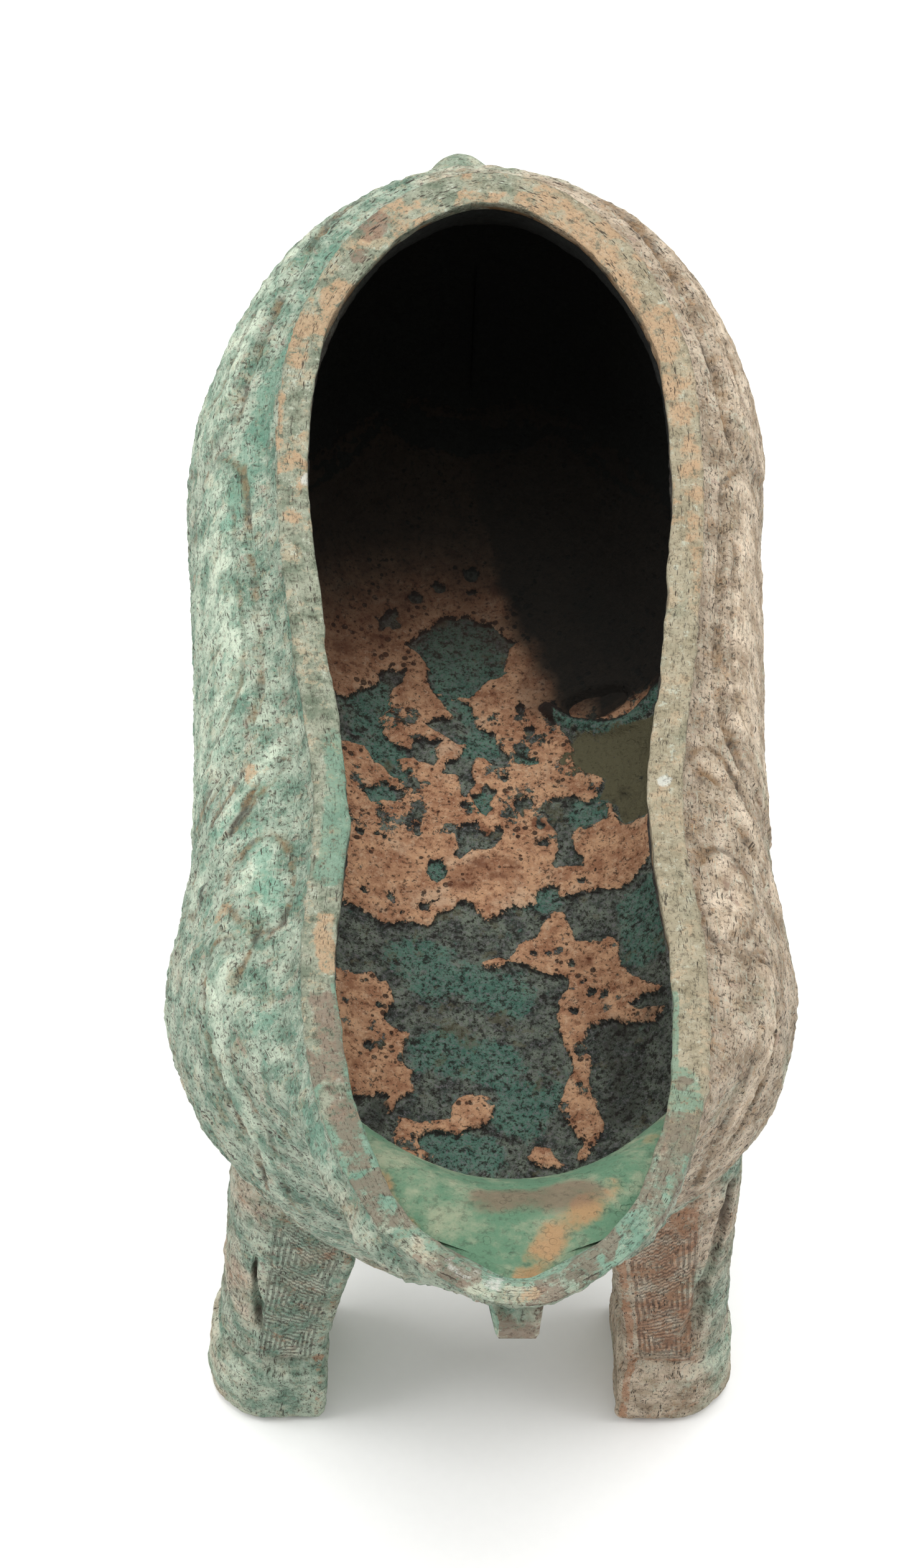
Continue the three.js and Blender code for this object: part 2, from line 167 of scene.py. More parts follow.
def open_curve(controls: Array, share: Array) -> Array:
    """Points of open smooth curves, one curve and one point for each row.

    Args:
        controls: Controls, with shape (controls, rows, dimensions).
        share: How far along its curve each row's point lies.

    Returns:
        One point for each row.
    """
    last = len(controls) - 1
    ends = (2 * controls[:1] - controls[1:2], 2 * controls[-1:] - controls[-2:-1])
    padded = np.concatenate([ends[0], controls, ends[1]])
    place = np.clip(share, 0.0, 1.0) * last
    span = np.minimum(np.floor(place).astype(int), last - 1)
    rows = np.arange(len(share))
    return spline_span(*(padded[span + step, rows] for step in range(4)), place - span)


def traced(path: Path, steps: int = 8, closed: bool = False) -> Array:
    """A path of places as a fine smooth line.

    Args:
        path: Places along and down the surface.
        steps: Points for each stretch.
        closed: Whether the line comes back to its start.

    Returns:
        The line's places.
    """
    if closed:
        return ClosedCurve(list(path)).at(np.linspace(0, 1, len(path) * steps + 1))
    count = (len(path) - 1) * steps + 1
    controls = np.repeat(np.array(path, float)[:, None, :], count, axis=1)
    return open_curve(controls, np.linspace(0, 1, count))


def distance_to_line(points: Array, line: Array, reach: float) -> Array:
    """How far points lie from a line, in three dimensions.

    Args:
        points: The points.
        line: The line's corners.
        reach: The distance past which it no longer matters.

    Returns:
        The distance of each point, never above reach.
    """
    best = np.full(len(points), reach)
    low, high = line.min(0) - reach, line.max(0) + reach
    near = np.where(((points > low) & (points < high)).all(1))[0]
    if not len(near):
        return best
    close = points[near]
    found = np.full(len(near), reach)
    for start, end in zip(line[:-1], line[1:]):
        run = end - start
        share = np.clip(((close - start) @ run) / max(run @ run, 1e-9), 0, 1)
        found = np.minimum(found, np.linalg.norm(close - start - share[:, None] * run, axis=1))
    best[near] = found
    return best


def within(places: Array, outline: Array) -> Array:
    """Whether places lie inside a closed outline, by the even-odd rule."""
    inside = np.zeros(len(places), bool)
    for (x0, y0), (x1, y1) in zip(outline[:-1], outline[1:]):
        crosses = (places[:, 1] < y0) != (places[:, 1] < y1)
        rise = y1 - y0 if abs(y1 - y0) > 1e-12 else 1e-12
        inside ^= crosses & (places[:, 0] < x0 + (places[:, 1] - y0) / rise * (x1 - x0))
    return inside


class Grain:
    """Repeatable soft noise through space."""

    def __init__(self, seed: int) -> None:
        """Fills a lattice from a seed."""
        self.lattice = np.random.default_rng(int(seed)).random((32, 32, 32))

    def at(self, points: Array, size: float) -> Array:
        """Noise from 0 to 1 at points, with features of a size."""
        place = points / size + 7.3
        cell = np.floor(place).astype(int)
        share = place - cell
        share = share * share * (3 - 2 * share)
        total = np.zeros(len(points))
        for corner in range(8):
            step = np.array([corner & 1, corner >> 1 & 1, corner >> 2 & 1])
            weight = np.prod(np.where(step, share, 1 - share), axis=1)
            x, y, z = ((cell + step) % 32).T
            total += weight * self.lattice[x, y, z]
        return total

    def layered(self, points: Array, size: float, layers: int = 4) -> Array:
        """Noise of halving sizes, from about 0 to 1."""
        total, weight, sum_weight = np.zeros(len(points)), 1.0, 0.0
        for layer in range(layers):
            total += weight * self.at(points + 17.1 * layer, size / 2**layer)
            sum_weight += weight
            weight *= 0.55
        return total / sum_weight


def uneven(seed: Seed, points: Array, size: float, layers: int = 4) -> Array:
    """Layered noise about 0, from a seed."""
    return Grain(seed).layered(points, size, layers) - 0.5


@dataclass(frozen=True)
class Station:
    """One station of the body: the rim's and the girth's place, half-width and dip, in shares."""

    rim: tuple[float, float, float]
    girth: tuple[float, float]


@dataclass
class VesselForm:
    """The cast body's outer form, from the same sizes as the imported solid."""

    front: float = -160.8
    length: float = 263.3
    height: float = 171.0
    saddle: float = 21.8
    rim_half: float = 42.2
    girth_half: float = 58.0
    girth_side_z: float = 105.0
    girth_rear_z: float = 117.0
    rim_lip: float = 4.8
    rim_side: float = 6.4
    rim_rear: float = 9.0
    wall: float = 5.2
    belly_front: float = -68.0
    belly_rear: float = 54.0
    belly_z: float = 58.0
    stations: tuple[Station, ...] = (
        Station((0, 0, 0.1147), (0.1799, 0)),
        Station((0.006, 0.154, 0.133), (0.1837, 0.1724)),
        Station((0.0555, 0.4976, 0.2569), (0.1989, 0.4138)),
        Station((0.1572, 0.7583, 0.5321), (0.2254, 0.6638)),
        Station((0.286, 0.8531, 0.8349), (0.2936, 0.9138)),
        Station((0.4375, 0.8057, 1), (0.4299, 0.9483)),
        Station((0.589, 0.9194, 0.9633), (0.589, 0.9569)),
        Station((0.7405, 1, 0.7982), (0.7481, 0.9914)),
        Station((0.8617, 0.9384, 0.5321), (0.8996, 1)),
        Station((0.9451, 0.6754, 0.2385), (1.017, 0.7672)),
        Station((0.9886, 0.3199, 0.0459), (1.0928, 0.3707)),
        Station((1, 0, 0), (1.1117, 0)),
    )
    haunches: tuple[tuple[float, ...], ...] = ((-58, 98, 5.5, 25, 34), (72, 96, 2, 34, 38))

    def __post_init__(self) -> None:
        """Traces the rim and the girth, and measures along the rim."""
        between = self.stations[1:-1]
        order = [(self.stations[0], 1), *((s, 1) for s in between), (self.stations[-1], 1)]
        order += [(s, -1) for s in reversed(between)]
        self.rim = ClosedCurve([self.rim_point(s, side) for s, side in order])
        self.girth = ClosedCurve([self.girth_point(s, side) for s, side in order])
        self.ticks = np.linspace(0, 1, 1201)
        steps = np.linalg.norm(np.diff(self.rim.at(self.ticks), axis=0), axis=1)
        self.shares = np.concatenate([[0], np.cumsum(steps)]) / steps.sum()

    def rim_point(self, station: Station, side: int) -> tuple[float, float, float]:
        """The rim's outer edge at a station."""
        at, half, dip = station.rim
        y = self.front + self.length * at
        return side * self.rim_half * half, y, self.height - self.saddle * dip

    def girth_point(self, station: Station, side: int) -> tuple[float, float, float]:
        """The girth at a station."""
        at, half = station.girth
        y = self.front + self.length * at
        rise = smooth(self.belly_rear, self.front + self.length, np.array(y))
        z = blend(self.girth_side_z, self.girth_rear_z, rise)
        return side * self.girth_half * half, y, float(z)

    def frame_at(self, around: Array) -> tuple[Array, ...]:
        """Where sections stand.

        Args:
            around: Shares of the way round the rim from the lip.

        Returns:
            The rim points, the girth points, the level ways out, and the shares of the length.
        """
        share = np.interp(np.mod(around, 1.0), self.shares, self.ticks)
        rim, girth = self.rim.at(share), self.girth.at(share)
        run = self.rim.at(share + 2e-4) - self.rim.at(share - 2e-4)
        out = unit(np.stack([run[:, 1], -run[:, 0], np.zeros(len(run))], axis=1))
        along = np.clip((rim[:, 1] - self.front) / self.length, 0, 1)
        return rim, girth, out, along

    def skin(self, around: Array, down: Array) -> Array:
        """Points of the outer surface.

        Args:
            around: Shares of the way round the rim from the lip.
            down: Shares of the way from the rim, 0, to the belly line, 1.

        Returns:
            The points, in millimetres.
        """
        rim, girth, out, along = self.frame_at(around)
        lip, tip = smooth(0.22, 0.02, along), smooth(0.075, 0.01, along)
        neck = rim + out * blend(0.4, -5.0, tip)[:, None] - np.array([0, 0, 7.0])
        shoulder = blend(rim, girth, blend(0.66, 0.52, lip)[:, None])
        shoulder[:, 2] = blend(rim[:, 2], girth[:, 2], blend(0.3, 0.22, lip))
        eased = blend(along, 0.5 - 0.5 * np.cos(np.pi * along), 0.6)
        belly = np.zeros_like(rim)
        belly[:, 1] = blend(self.belly_front, self.belly_rear, eased)
        belly[:, 2] = self.belly_z
        underside, floor = blend(belly, girth, 0.7), blend(belly, girth, 0.38)
        underside[:, 2], floor[:, 2] = 69.0, 59.4
        controls = np.stack([rim, neck, shoulder, girth, underside, floor, belly])
        point = open_curve(controls, down)
        rise = np.zeros(len(point))
        for y, z, height, reach, up in self.haunches:
            spread = ((point[:, 1] - y) / reach) ** 2 + ((point[:, 2] - z) / up) ** 2
            rise += height * np.exp(-2 * spread)
        return point + out * (rise * smooth(20, 46, np.abs(point[:, 0])))[:, None]

    def normal(self, around: Array, down: Array) -> Array:
        """Outward normals of the outer surface."""
        step = 2e-3
        low = np.clip(down, step, 1 - 2 * step)
        across = self.skin(around + step, low) - self.skin(around - step, low)
        fall = self.skin(around, low + step) - self.skin(around, low - step)
        return unit(np.cross(fall, across))

    def underside_z(self, x: Array, y: Array) -> Array:
        """The height of the body's underside over places on the ground."""
        around, down = np.meshgrid(np.linspace(0, 0.5, 260), np.linspace(0.5, 1, 120))
        points = self.skin(around.ravel(), down.ravel())
        gaps = np.hypot(points[:, 0] - np.abs(x)[:, None], points[:, 1] - y[:, None])
        return points[np.argmin(gaps, axis=1), 2]

    def inner(self, around: Array, down: Array) -> tuple[Array, Array]:
        """Points of the inner surface, and the way from them into the wall."""
        _, _, out, along = self.frame_at(around)
        edge = blend(self.rim_side, self.rim_lip, smooth(0.2, 0, along))
        edge = blend(edge, self.rim_rear, smooth(0.85, 1, along))
        thickness = blend(edge, self.wall, smooth(0, 0.2, down))
        turned = smooth(0.02, 0.16, down)[:, None]
        way = unit(blend(-out, -self.normal(around, down), turned))
        return self.skin(around, down) + way * thickness[:, None], -way


@dataclass(frozen=True)
class Panel:
    """A raised flat form on the flank, inside an outline."""

    outline: Path
    height: float
    bevel: float = 0.6
    dome: float = 0.0


@dataclass(frozen=True)
class Line:
    """A groove or ridge along a path."""

    path: Path
    half: float
    height: float
    dirt: float = 1.0


@dataclass
class Relief:
    """The flank's relief: panels and lines by places along the rim and down from it."""

    form: VesselForm
    side: Side
    panels: tuple[Panel, ...]
    lines: tuple[Line, ...]
    proud: float
    cut: float

    def trace(self, places: Array) -> Array:
        """A line of places as points on the flank."""
        return self.form.skin(self.side.value * places[:, 0] * 0.5, places[:, 1])

    def at(self, points: Array, places: Array) -> tuple[Array, Array, Array]:
        """Reads the relief.

        Args:
            points: Points of the plain surface, in millimetres.
            places: The same points' places along and down.

        Returns:
            The heights, how much dirt lies there from 0 to 1, and how smooth the surface is.
        """
        height, dirt, plain = (np.zeros(len(points)) for _ in range(3))
        for panel in self.panels:
            outline = traced(panel.outline, 6, True)
            edge = distance_to_line(points, self.trace(outline), 12.0)
            signed = np.where(within(places, outline), edge, -edge)
            raised = self.proud * smooth(-0.2, panel.bevel, signed)
            crown = self.proud * panel.dome * np.sqrt(np.clip(signed / 9.0, 0, 1))
            height = np.maximum(height, panel.height * raised + crown)
            dirt = np.maximum(dirt, 0.8 * smooth(1.1, 0.2, np.abs(signed + 0.6)))
            plain = np.maximum(plain, smooth(0.8, 2.4, signed))
        for line in self.lines:
            reach = distance_to_line(points, self.trace(traced(line.path)), 8.0)
            depth = smooth(line.half * 0.85, line.half * 0.2, reach)
            height = height + self.cut * line.height * depth
            if line.height < 0:
                dirt = np.maximum(dirt, line.dirt * depth)
                plain = plain * (1 - depth)
        return height, dirt, plain


class Sheet:
    """A grid of squares that is bent into a closed piece."""

    def __init__(self, columns: int, rows: int) -> None:
        """Lays the grid out.

        Args:
            columns: Squares across.
            rows: Squares up.
        """
        self.mesh = bmesh.new()
        self.mesh.loops.layers.uv.new("place")
        bmesh.ops.create_grid(
            self.mesh, x_segments=columns, y_segments=rows, size=0.5, calc_uvs=True
        )
        self.mesh.verts.ensure_lookup_table()
        spots = np.array([v.co[:2] for v in self.mesh.verts]) + 0.5
        self.across, self.up = spots[:, 0], spots[:, 1]
        self.columns, self.rows = columns, rows
        self.row = np.rint(self.up * rows).astype(int)

    def sides(self) -> Array:
        """Whether corners lie on the grid's two side borders."""
        return (self.across < 1e-6) | (self.across > 1 - 1e-6)

    def bend(self, points: Array) -> None:
        """Moves the grid's corners to points given in millimetres."""
        for vert, point in zip(self.mesh.verts, points * MM):
            vert.co = point

    def paint(self, name: str, red: Array, green: Array, blue: Array, alpha: Array) -> None:
        """Keeps four masks on the corners, as one colour attribute."""
        layer = self.mesh.verts.layers.float_color.new(name)
        for vert, colour in zip(self.mesh.verts, np.stack([red, green, blue, alpha], axis=1)):
            vert[layer] = colour

    def close(self, seam: bool = False) -> None:
        """Closes the piece.

        Args:
            seam: Whether two borders of the grid meet and are joined first.
        """
        if seam:
            border = [v for v in self.mesh.verts if v.is_boundary]
            bmesh.ops.remove_doubles(self.mesh, verts=border, dist=1e-6)
        open_edges = [e for e in self.mesh.edges if e.is_boundary]
        for edge in open_edges:
            edge.smooth = False
        bmesh.ops.holes_fill(self.mesh, edges=open_edges, sides=0)
        bmesh.ops.recalc_face_normals(self.mesh, faces=self.mesh.faces[:])

    def finish(self, name: str, material: bpy.types.Material) -> bpy.types.Object:
        """Makes the piece an object that rides on the vessel and stands for its solid."""
        return finished(self.mesh, name, material)


def finished(mesh: bmesh.types.BMesh, name: str, material: bpy.types.Material) -> bpy.types.Object:
    """Turns a mesh into a dressed piece.

    Args:
        mesh: The mesh, with its place in it; it is freed.
        name: The piece's name.
        material: Its finish.

    Returns:
        The piece.
    """
    for face in mesh.faces:
        face.smooth = True
    data = bpy.data.meshes.new(name)
    mesh.to_mesh(data)
    mesh.free()
    data.materials.append(material)
    piece = bpy.data.objects.new(name, data)
    bpy.context.scene.collection.objects.link(piece)
    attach(piece, "root")
    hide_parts("vessel")
    data.calc_loop_triangles()
    LOG.info("%s: %d triangles", name, len(data.loop_triangles))
    return piece


def colour(red: int, green: int, blue: int) -> Colour:
    """A screen colour as linear light."""

    def linear(value: int) -> float:
        """One channel."""
        share = value / 255
        return share / 12.92 if share <= 0.04045 else ((share + 0.055) / 1.055) ** 2.4

    return linear(red), linear(green), linear(blue), 1.0


class Graph:
    """Adds nodes to one node tree and joins them."""

    def __init__(self, tree: bpy.types.NodeTree) -> None:
        """Keeps the tree."""
        self.tree = tree
        self.material: bpy.types.Material | None = None

    def node(self, kind: str, inputs: dict | None = None, **settings: object) -> bpy.types.Node:
        """Adds a node.

        Args:
            kind: The node's type, without its usual prefix.
            inputs: Sockets or plain values by input name or number.
            settings: The node's own settings.

        Returns:
            The node.
        """
        made = self.tree.nodes.new("ShaderNode" + kind)
        for key, value in settings.items():
            setattr(made, key, value)
        for key, value in (inputs or {}).items():
            if isinstance(value, bpy.types.NodeSocket):
                self.tree.links.new(value, made.inputs[key])
            else:
                made.inputs[key].default_value = value
        return made

    @classmethod
    def opened(cls, name: str) -> tuple["Graph", bpy.types.Node]:
        """Opens a new material.

        Args:
            name: The material's name.

        Returns:
            A graph of its nodes, which also keeps the material, and its surface node.
        """
        material = bpy.data.materials.new(name)
        material.use_nodes = True
        graph = cls(material.node_tree)
        graph.material = material
        return graph, material.node_tree.nodes["Principled BSDF"]

    def grouped(self, tree: bpy.types.NodeTree, vector: Socket, **values: float) -> Socket:
        """One shared group with its own values."""
        made = self.node("Group", {}, node_tree=tree)
        self.tree.links.new(vector, made.inputs["Vector"])
        for key, value in values.items():
            made.inputs[key.title()].default_value = value
        return made.outputs[0]

    def noise(
        self, vector: Socket, scale: object, detail: float = 4, rough: float = 0.55
    ) -> Socket:
        """A noise texture's value."""
        inputs = {"Vector": vector, "Scale": scale, "Detail": detail, "Roughness": rough}
        return self.node("TexNoise", inputs).outputs[0]

    def step(self, value: object, low: object, high: object, top: float = 1.0) -> Socket:
        """A soft step from 0 at low to top at high; low may lie above high."""
        inputs = {"Value": value, "From Min": low, "From Max": high, "To Min": 0.0, "To Max": top}
        return self.node("MapRange", inputs, interpolation_type="SMOOTHSTEP").outputs[0]

    def math(self, operation: str, first: object, second: object = 0.5) -> Socket:
        """The result of one operation on two values."""
        return self.node("Math", {0: first, 1: second}, operation=operation).outputs[0]

    def add(self, first: object, second: object) -> Socket:
        """Two values added."""
        return self.math("ADD", first, second)

    def less(self, first: object, second: object) -> Socket:
        """The second value taken from the first."""
        return self.math("SUBTRACT", first, second)

    def times(self, first: object, second: object) -> Socket:
        """Two values multiplied."""
        return self.math("MULTIPLY", first, second)

    def total(self, *parts: tuple[Socket, float]) -> Socket:
        """Several values added, each with its weight."""
        return reduce(self.add, [self.times(value, weight) for value, weight in parts])

    def moved(self, operation: str, vector: Socket, by: tuple[float, ...]) -> Socket:
        """A place after one operation with fixed numbers."""
        return self.node("VectorMath", {0: vector, 1: by}, operation=operation).outputs[0]

    def mix(self, share: object, first: object, second: object) -> Socket:
        """A blend of two colours."""
        inputs = {0: share, 6: first, 7: second}
        return self.node("Mix", inputs, data_type="RGBA").outputs[2]

    def cover(self, base: Socket, layers: tuple[Layer, ...], kept: Socket | None = None) -> Socket:
        """Lays tints over a colour, each where a value passes a soft step.

        Args:
            base: The colour below.
            layers: Each layer's value, where its step starts and ends, its strength and its tint.
            kept: What every layer's strength is multiplied by, if anything.

        Returns:
            The covered colour.
        """
        for value, low, high, most, tint in layers:
            share = self.step(value, low, high, most)
            base = self.mix(share if kept is None else self.times(share, kept), base, tint)
        return base

    def masks(self, name: str) -> tuple[Socket, ...]:
        """The four parts of a painted mask."""
        painted = self.node("Attribute", attribute_name=name).outputs
        return (*self.node("SeparateColor", {0: painted[0]}).outputs, painted["Alpha"])

    def dress(self, surface: bpy.types.Node, base: Socket, bump: dict, rough: float) -> None:
        """Gives a surface its colour, its fine bumps and its roughness."""
        self.tree.links.new(base, surface.inputs["Base Color"])
        bumped = self.node("Bump", bump).outputs[0]
        self.tree.links.new(bumped, surface.inputs["Normal"])
        surface.inputs["Roughness"].default_value = rough
        surface.inputs["Specular IOR Level"].default_value = 0.3


class Groups:
    """The shader groups that several finishes share, each built once."""

    def __init__(self) -> None:
        """Starts with no groups."""
        self.made: dict[str, bpy.types.NodeTree] = {}

    def shared(
        self, name: str, starts: dict[str, float], output: str, fill: Callable
    ) -> bpy.types.NodeTree:
        """Gives a group, and builds it when it is first asked for.

        Args:
            name: The group's name.
            starts: Its number inputs and what they start at; it always takes a Vector first.
            output: Its one output.
            fill: Makes the output from a graph of the group's tree and the group's inputs.

        Returns:
            The group's tree.
        """
        if name in self.made:
            return self.made[name]
        tree = bpy.data.node_groups.new(name, "ShaderNodeTree")
        tree.interface.new_socket("Vector", in_out="INPUT", socket_type="NodeSocketVector")
        for key, value in starts.items():
            socket = tree.interface.new_socket(key, in_out="INPUT", socket_type="NodeSocketFloat")
            socket.default_value = value
        tree.interface.new_socket(output, in_out="OUTPUT", socket_type="NodeSocketFloat")
        came, goes = tree.nodes.new("NodeGroupInput"), tree.nodes.new("NodeGroupOutput")
        tree.links.new(fill(Graph(tree), came.outputs), goes.inputs[output])
        self.made[name] = tree
        return tree

    def mottle(self) -> bpy.types.NodeTree:
        """Cloudy patches: how much of a second colour lies on the first."""

        def fill(graph: Graph, came: Sockets) -> Socket:
            """Steps a bent noise."""
            bent = graph.noise(came["Vector"], came["Scale"], 8, 0.62)
            return graph.step(bent, came["Low"], came["High"])

        return self.shared("mottle", {"Scale": 60, "Low": 0.45, "High": 0.6}, "Mask", fill)

    def pits(self) -> bpy.types.NodeTree:
        """Small corrosion pits: 1 at a pit's bottom."""

        def fill(graph: Graph, came: Sockets) -> Socket:
            """Keeps the middles of cells, larger where a wide noise is high."""
            cells = graph.node("TexVoronoi", {key: came[key] for key in ("Vector", "Scale")})
            spread = graph.noise(came["Vector"], graph.times(came["Scale"], 0.22), 3)
            size = graph.times(came["Size"], graph.step(spread, 0.42, 0.66))
            return graph.step(graph.less(size, cells.outputs["Distance"]), 0.0, 0.08)

        return self.shared("pits", {"Scale": 400, "Size": 0.35}, "Mask", fill)

    def streaks(self) -> bpy.types.NodeTree:
        """Fine runs in the patina: a value about 0.5 that changes fast across them."""

        def fill(graph: Graph, came: Sockets) -> Socket:
            """Takes the noise as it is."""
            return graph.noise(came["Vector"], came["Scale"], 5, 0.6)

        return self.shared("streaks", {"Scale": 0.9}, "Value", fill)

    def spirals(self) -> bpy.types.NodeTree:
        """Stacked square spirals: 1 on the raised line and 0 in the groove beside it."""

        def fill(graph: Graph, came: Sockets) -> Socket:
            """Winds a line outward in each cell."""
            parts = graph.node("SeparateXYZ", {0: came["Vector"]}).outputs

            def centred(part: object, size: object) -> object:
                """A place inside its own cell, from -1 to 1."""
                share = graph.math("FRACT", graph.math("DIVIDE", part, size))
                return graph.times(graph.less(share, 0.5), 2.0)

            x, y = centred(parts[0], came["Width"]), centred(parts[1], came["Height"])
            ring = graph.math("MAXIMUM", graph.math("ABSOLUTE", x), graph.math("ABSOLUTE", y))
            turn = graph.math("DIVIDE", graph.math("ARCTAN2", y, x), 2 * math.pi)
            half = graph.times(came["Width"], 0.5)
            rings = graph.math("DIVIDE", graph.times(ring, half), came["Pitch"])
            wave = graph.math("FRACT", graph.add(rings, turn))
            return graph.step(graph.math("ABSOLUTE", graph.less(wave, 0.5)), 0.14, 0.3)

        starts = {"Width": 13.0, "Height": 17.0, "Pitch": 1.1}
        return self.shared("spirals", starts, "Line", fill)


@dataclass(frozen=True)
class PatinaFinish:
    """Bronze patina on the outside of the casting."""

    name: str
    cool_dark: Colour = colour(112, 144, 124)
    cool_light: Colour = colour(206, 218, 196)
    warm_dark: Colour = colour(166, 146, 122)
    warm_light: Colour = colour(232, 214, 190)
    film: Colour = colour(196, 172, 138)
    turquoise: Colour = colour(112, 162, 140)
    peach: Colour = colour(204, 166, 128)
    brown: Colour = colour(140, 114, 98)
    ochre: Colour = colour(150, 116, 78)
    grime_and_shade: Colour = colour(66, 56, 47)
    chalk: Colour = colour(224, 226, 216)
    frost: Colour = colour(212, 222, 204)
    blush: Colour = colour(178, 146, 132)
    rim_dark: Colour = colour(112, 122, 100)
    rim_light: Colour = colour(176, 178, 156)
    run: tuple[float, float, float] = (60.0, 111.0, 0.0)
    spirals: bool = False
    rough: float = 0.85
    pit_depth: float = 1.0
    unrolled: tuple[float, float, float] = (93.4, 88.0, 1.0)
    corner: tuple[float, float, float] = (-3.6, -26.0, 0.0)

    def build(self, groups: Groups) -> bpy.types.Material:
        """Makes the material.

        Args:
            groups: The shared shader groups.

        Returns:
            The material, which reads the piece's two mask attributes and its own coordinates.
        """
        graph, surface = Graph.opened(self.name)
        place = graph.node("TexCoord").outputs["Object"]
        # The zones' first part is dirt in the relief's grooves and along the panels' edges, and
        # painted shade on the inside face below the rim.
        groove, warm, calm, special = graph.masks("zones")
        uv = graph.node("UVMap", uv_map="place").outputs[0]
        runs = graph.moved("MULTIPLY", uv, self.run)
        streak = graph.grouped(groups.streaks(), runs, scale=1.0)
        pits = graph.grouped(groups.pits(), runs, scale=2.4, size=0.37)
        prick = graph.grouped(groups.pits(), runs, scale=6.5, size=0.45)
        pits = graph.math("MAXIMUM", pits, graph.times(prick, 0.8))
        tone = graph.grouped(groups.mottle(), place, scale=170, low=0.34, high=0.66)
        grain = graph.noise(place, 1250, 5, 0.7)
        cloud = graph.noise(place, 230, 9, 0.72)
        crumb = graph.noise(place, 480, 8, 0.78)
        cool = graph.mix(tone, self.cool_dark, self.cool_light)
        warmth = graph.mix(tone, self.warm_dark, self.warm_light)
        patch = graph.times(graph.noise(place, 48, 8, 0.65), 1.9)
        edge = graph.step(graph.add(warm, patch), 1.12, 1.6)
        kept = graph.less(1.0, graph.times(calm, 0.35))
        fleck = graph.mix(edge, self.turquoise, self.peach)
        specks = (
            (graph.noise(place, 210, 9, 0.8), 0.53, 0.6, 0.4, self.film),
            (graph.noise(place, 260, 9, 0.82), 0.55, 0.6, 0.6, fleck),
            (graph.noise(place, 330, 9, 0.8), 0.57, 0.61, 0.5, self.blush),
            (crumb, 0.42, 0.37, 0.4, self.grime_and_shade),
            (crumb, 0.57, 0.63, 0.45, self.frost),
            (streak, 0.42, 0.34, 0.45, self.grime_and_shade),
            (streak, 0.57, 0.66, 0.4, self.frost),
            (grain, 0.45, 0.39, 0.6, self.grime_and_shade),
            (grain, 0.57, 0.63, 0.3, self.frost),
        )
        base = graph.cover(graph.mix(edge, cool, warmth), specks, kept)
        if not self.spirals:
            rim = self.rim(graph, place, edge, crumb)
            base = graph.mix(graph.times(special, 0.85), base, rim)
        whole = graph.step(crumb, 0.4, 0.47)
        # The fourth stain is a pale deposit, and on the lip's edge it is a painted highlight.
        tints = ((self.turquoise, 0.6), (self.peach, 0.7), (self.brown, 0.7), (self.chalk, 0.8))
        for mask, (tint, most) in zip(graph.masks("stains"), tints):
            ragged = graph.step(graph.add(mask, cloud), 0.86, 1.0, most)
            base = graph.mix(graph.times(ragged, whole), base, tint)
        base = graph.cover(base, ((grain, 0.45, 0.39, 0.4, self.grime_and_shade),))
        # The dark fill: earth in the grooves, and painted shade on the inside face below the rim.
        fill = graph.mix(graph.step(cloud, 0.43, 0.57), self.grime_and_shade, self.ochre)
        gap = graph.step(graph.noise(place, 95, 8, 0.7), 0.42, 0.56, 0.85)
        base = graph.mix(graph.times(groove, gap), base, fill)
        base = graph.mix(graph.times(pits, 0.88), base, self.grime_and_shade)
        rise = graph.times(graph.total((streak, 1.1), (grain, 1.1), (crumb, 1.8)), kept)
        rise = graph.less(rise, graph.times(pits, self.pit_depth))
        if self.spirals:
            spot = graph.moved("ADD", graph.moved("MULTIPLY", uv, self.unrolled), self.corner)
            line = graph.grouped(groups.spirals(), spot)
            cut = graph.times(graph.less(1.0, line), special)
            cut = graph.times(cut, graph.step(graph.noise(place, 170, 6, 0.6), 0.38, 0.5))
            base = graph.mix(graph.times(cut, 0.5), base, self.grime_and_shade)
            rise = graph.less(rise, graph.times(cut, 0.9))
        bump = {"Height": rise, "Distance": 0.0008, "Strength": 1.0}
        graph.dress(surface, base, bump, self.rough)
        return graph.material

    def rim(self, graph: Graph, place: Socket, edge: Socket, crumb: Socket) -> Socket:
        """The mottled colour of the flat rim."""
        mottled = graph.step(graph.noise(place, 240, 9, 0.72), 0.36, 0.62)
        rim = graph.mix(mottled, self.rim_dark, self.rim_light)
        rim = graph.cover(rim, ((graph.noise(place, 170, 9, 0.76), 0.53, 0.58, 0.6, self.film),))
        rim = graph.mix(graph.times(edge, 0.4), rim, self.film)
        specks = ((crumb, 0.57, 0.62, 0.5, self.frost), (crumb, 0.43, 0.38, 0.4, self.grime_and_shade))
        return graph.cover(rim, specks)


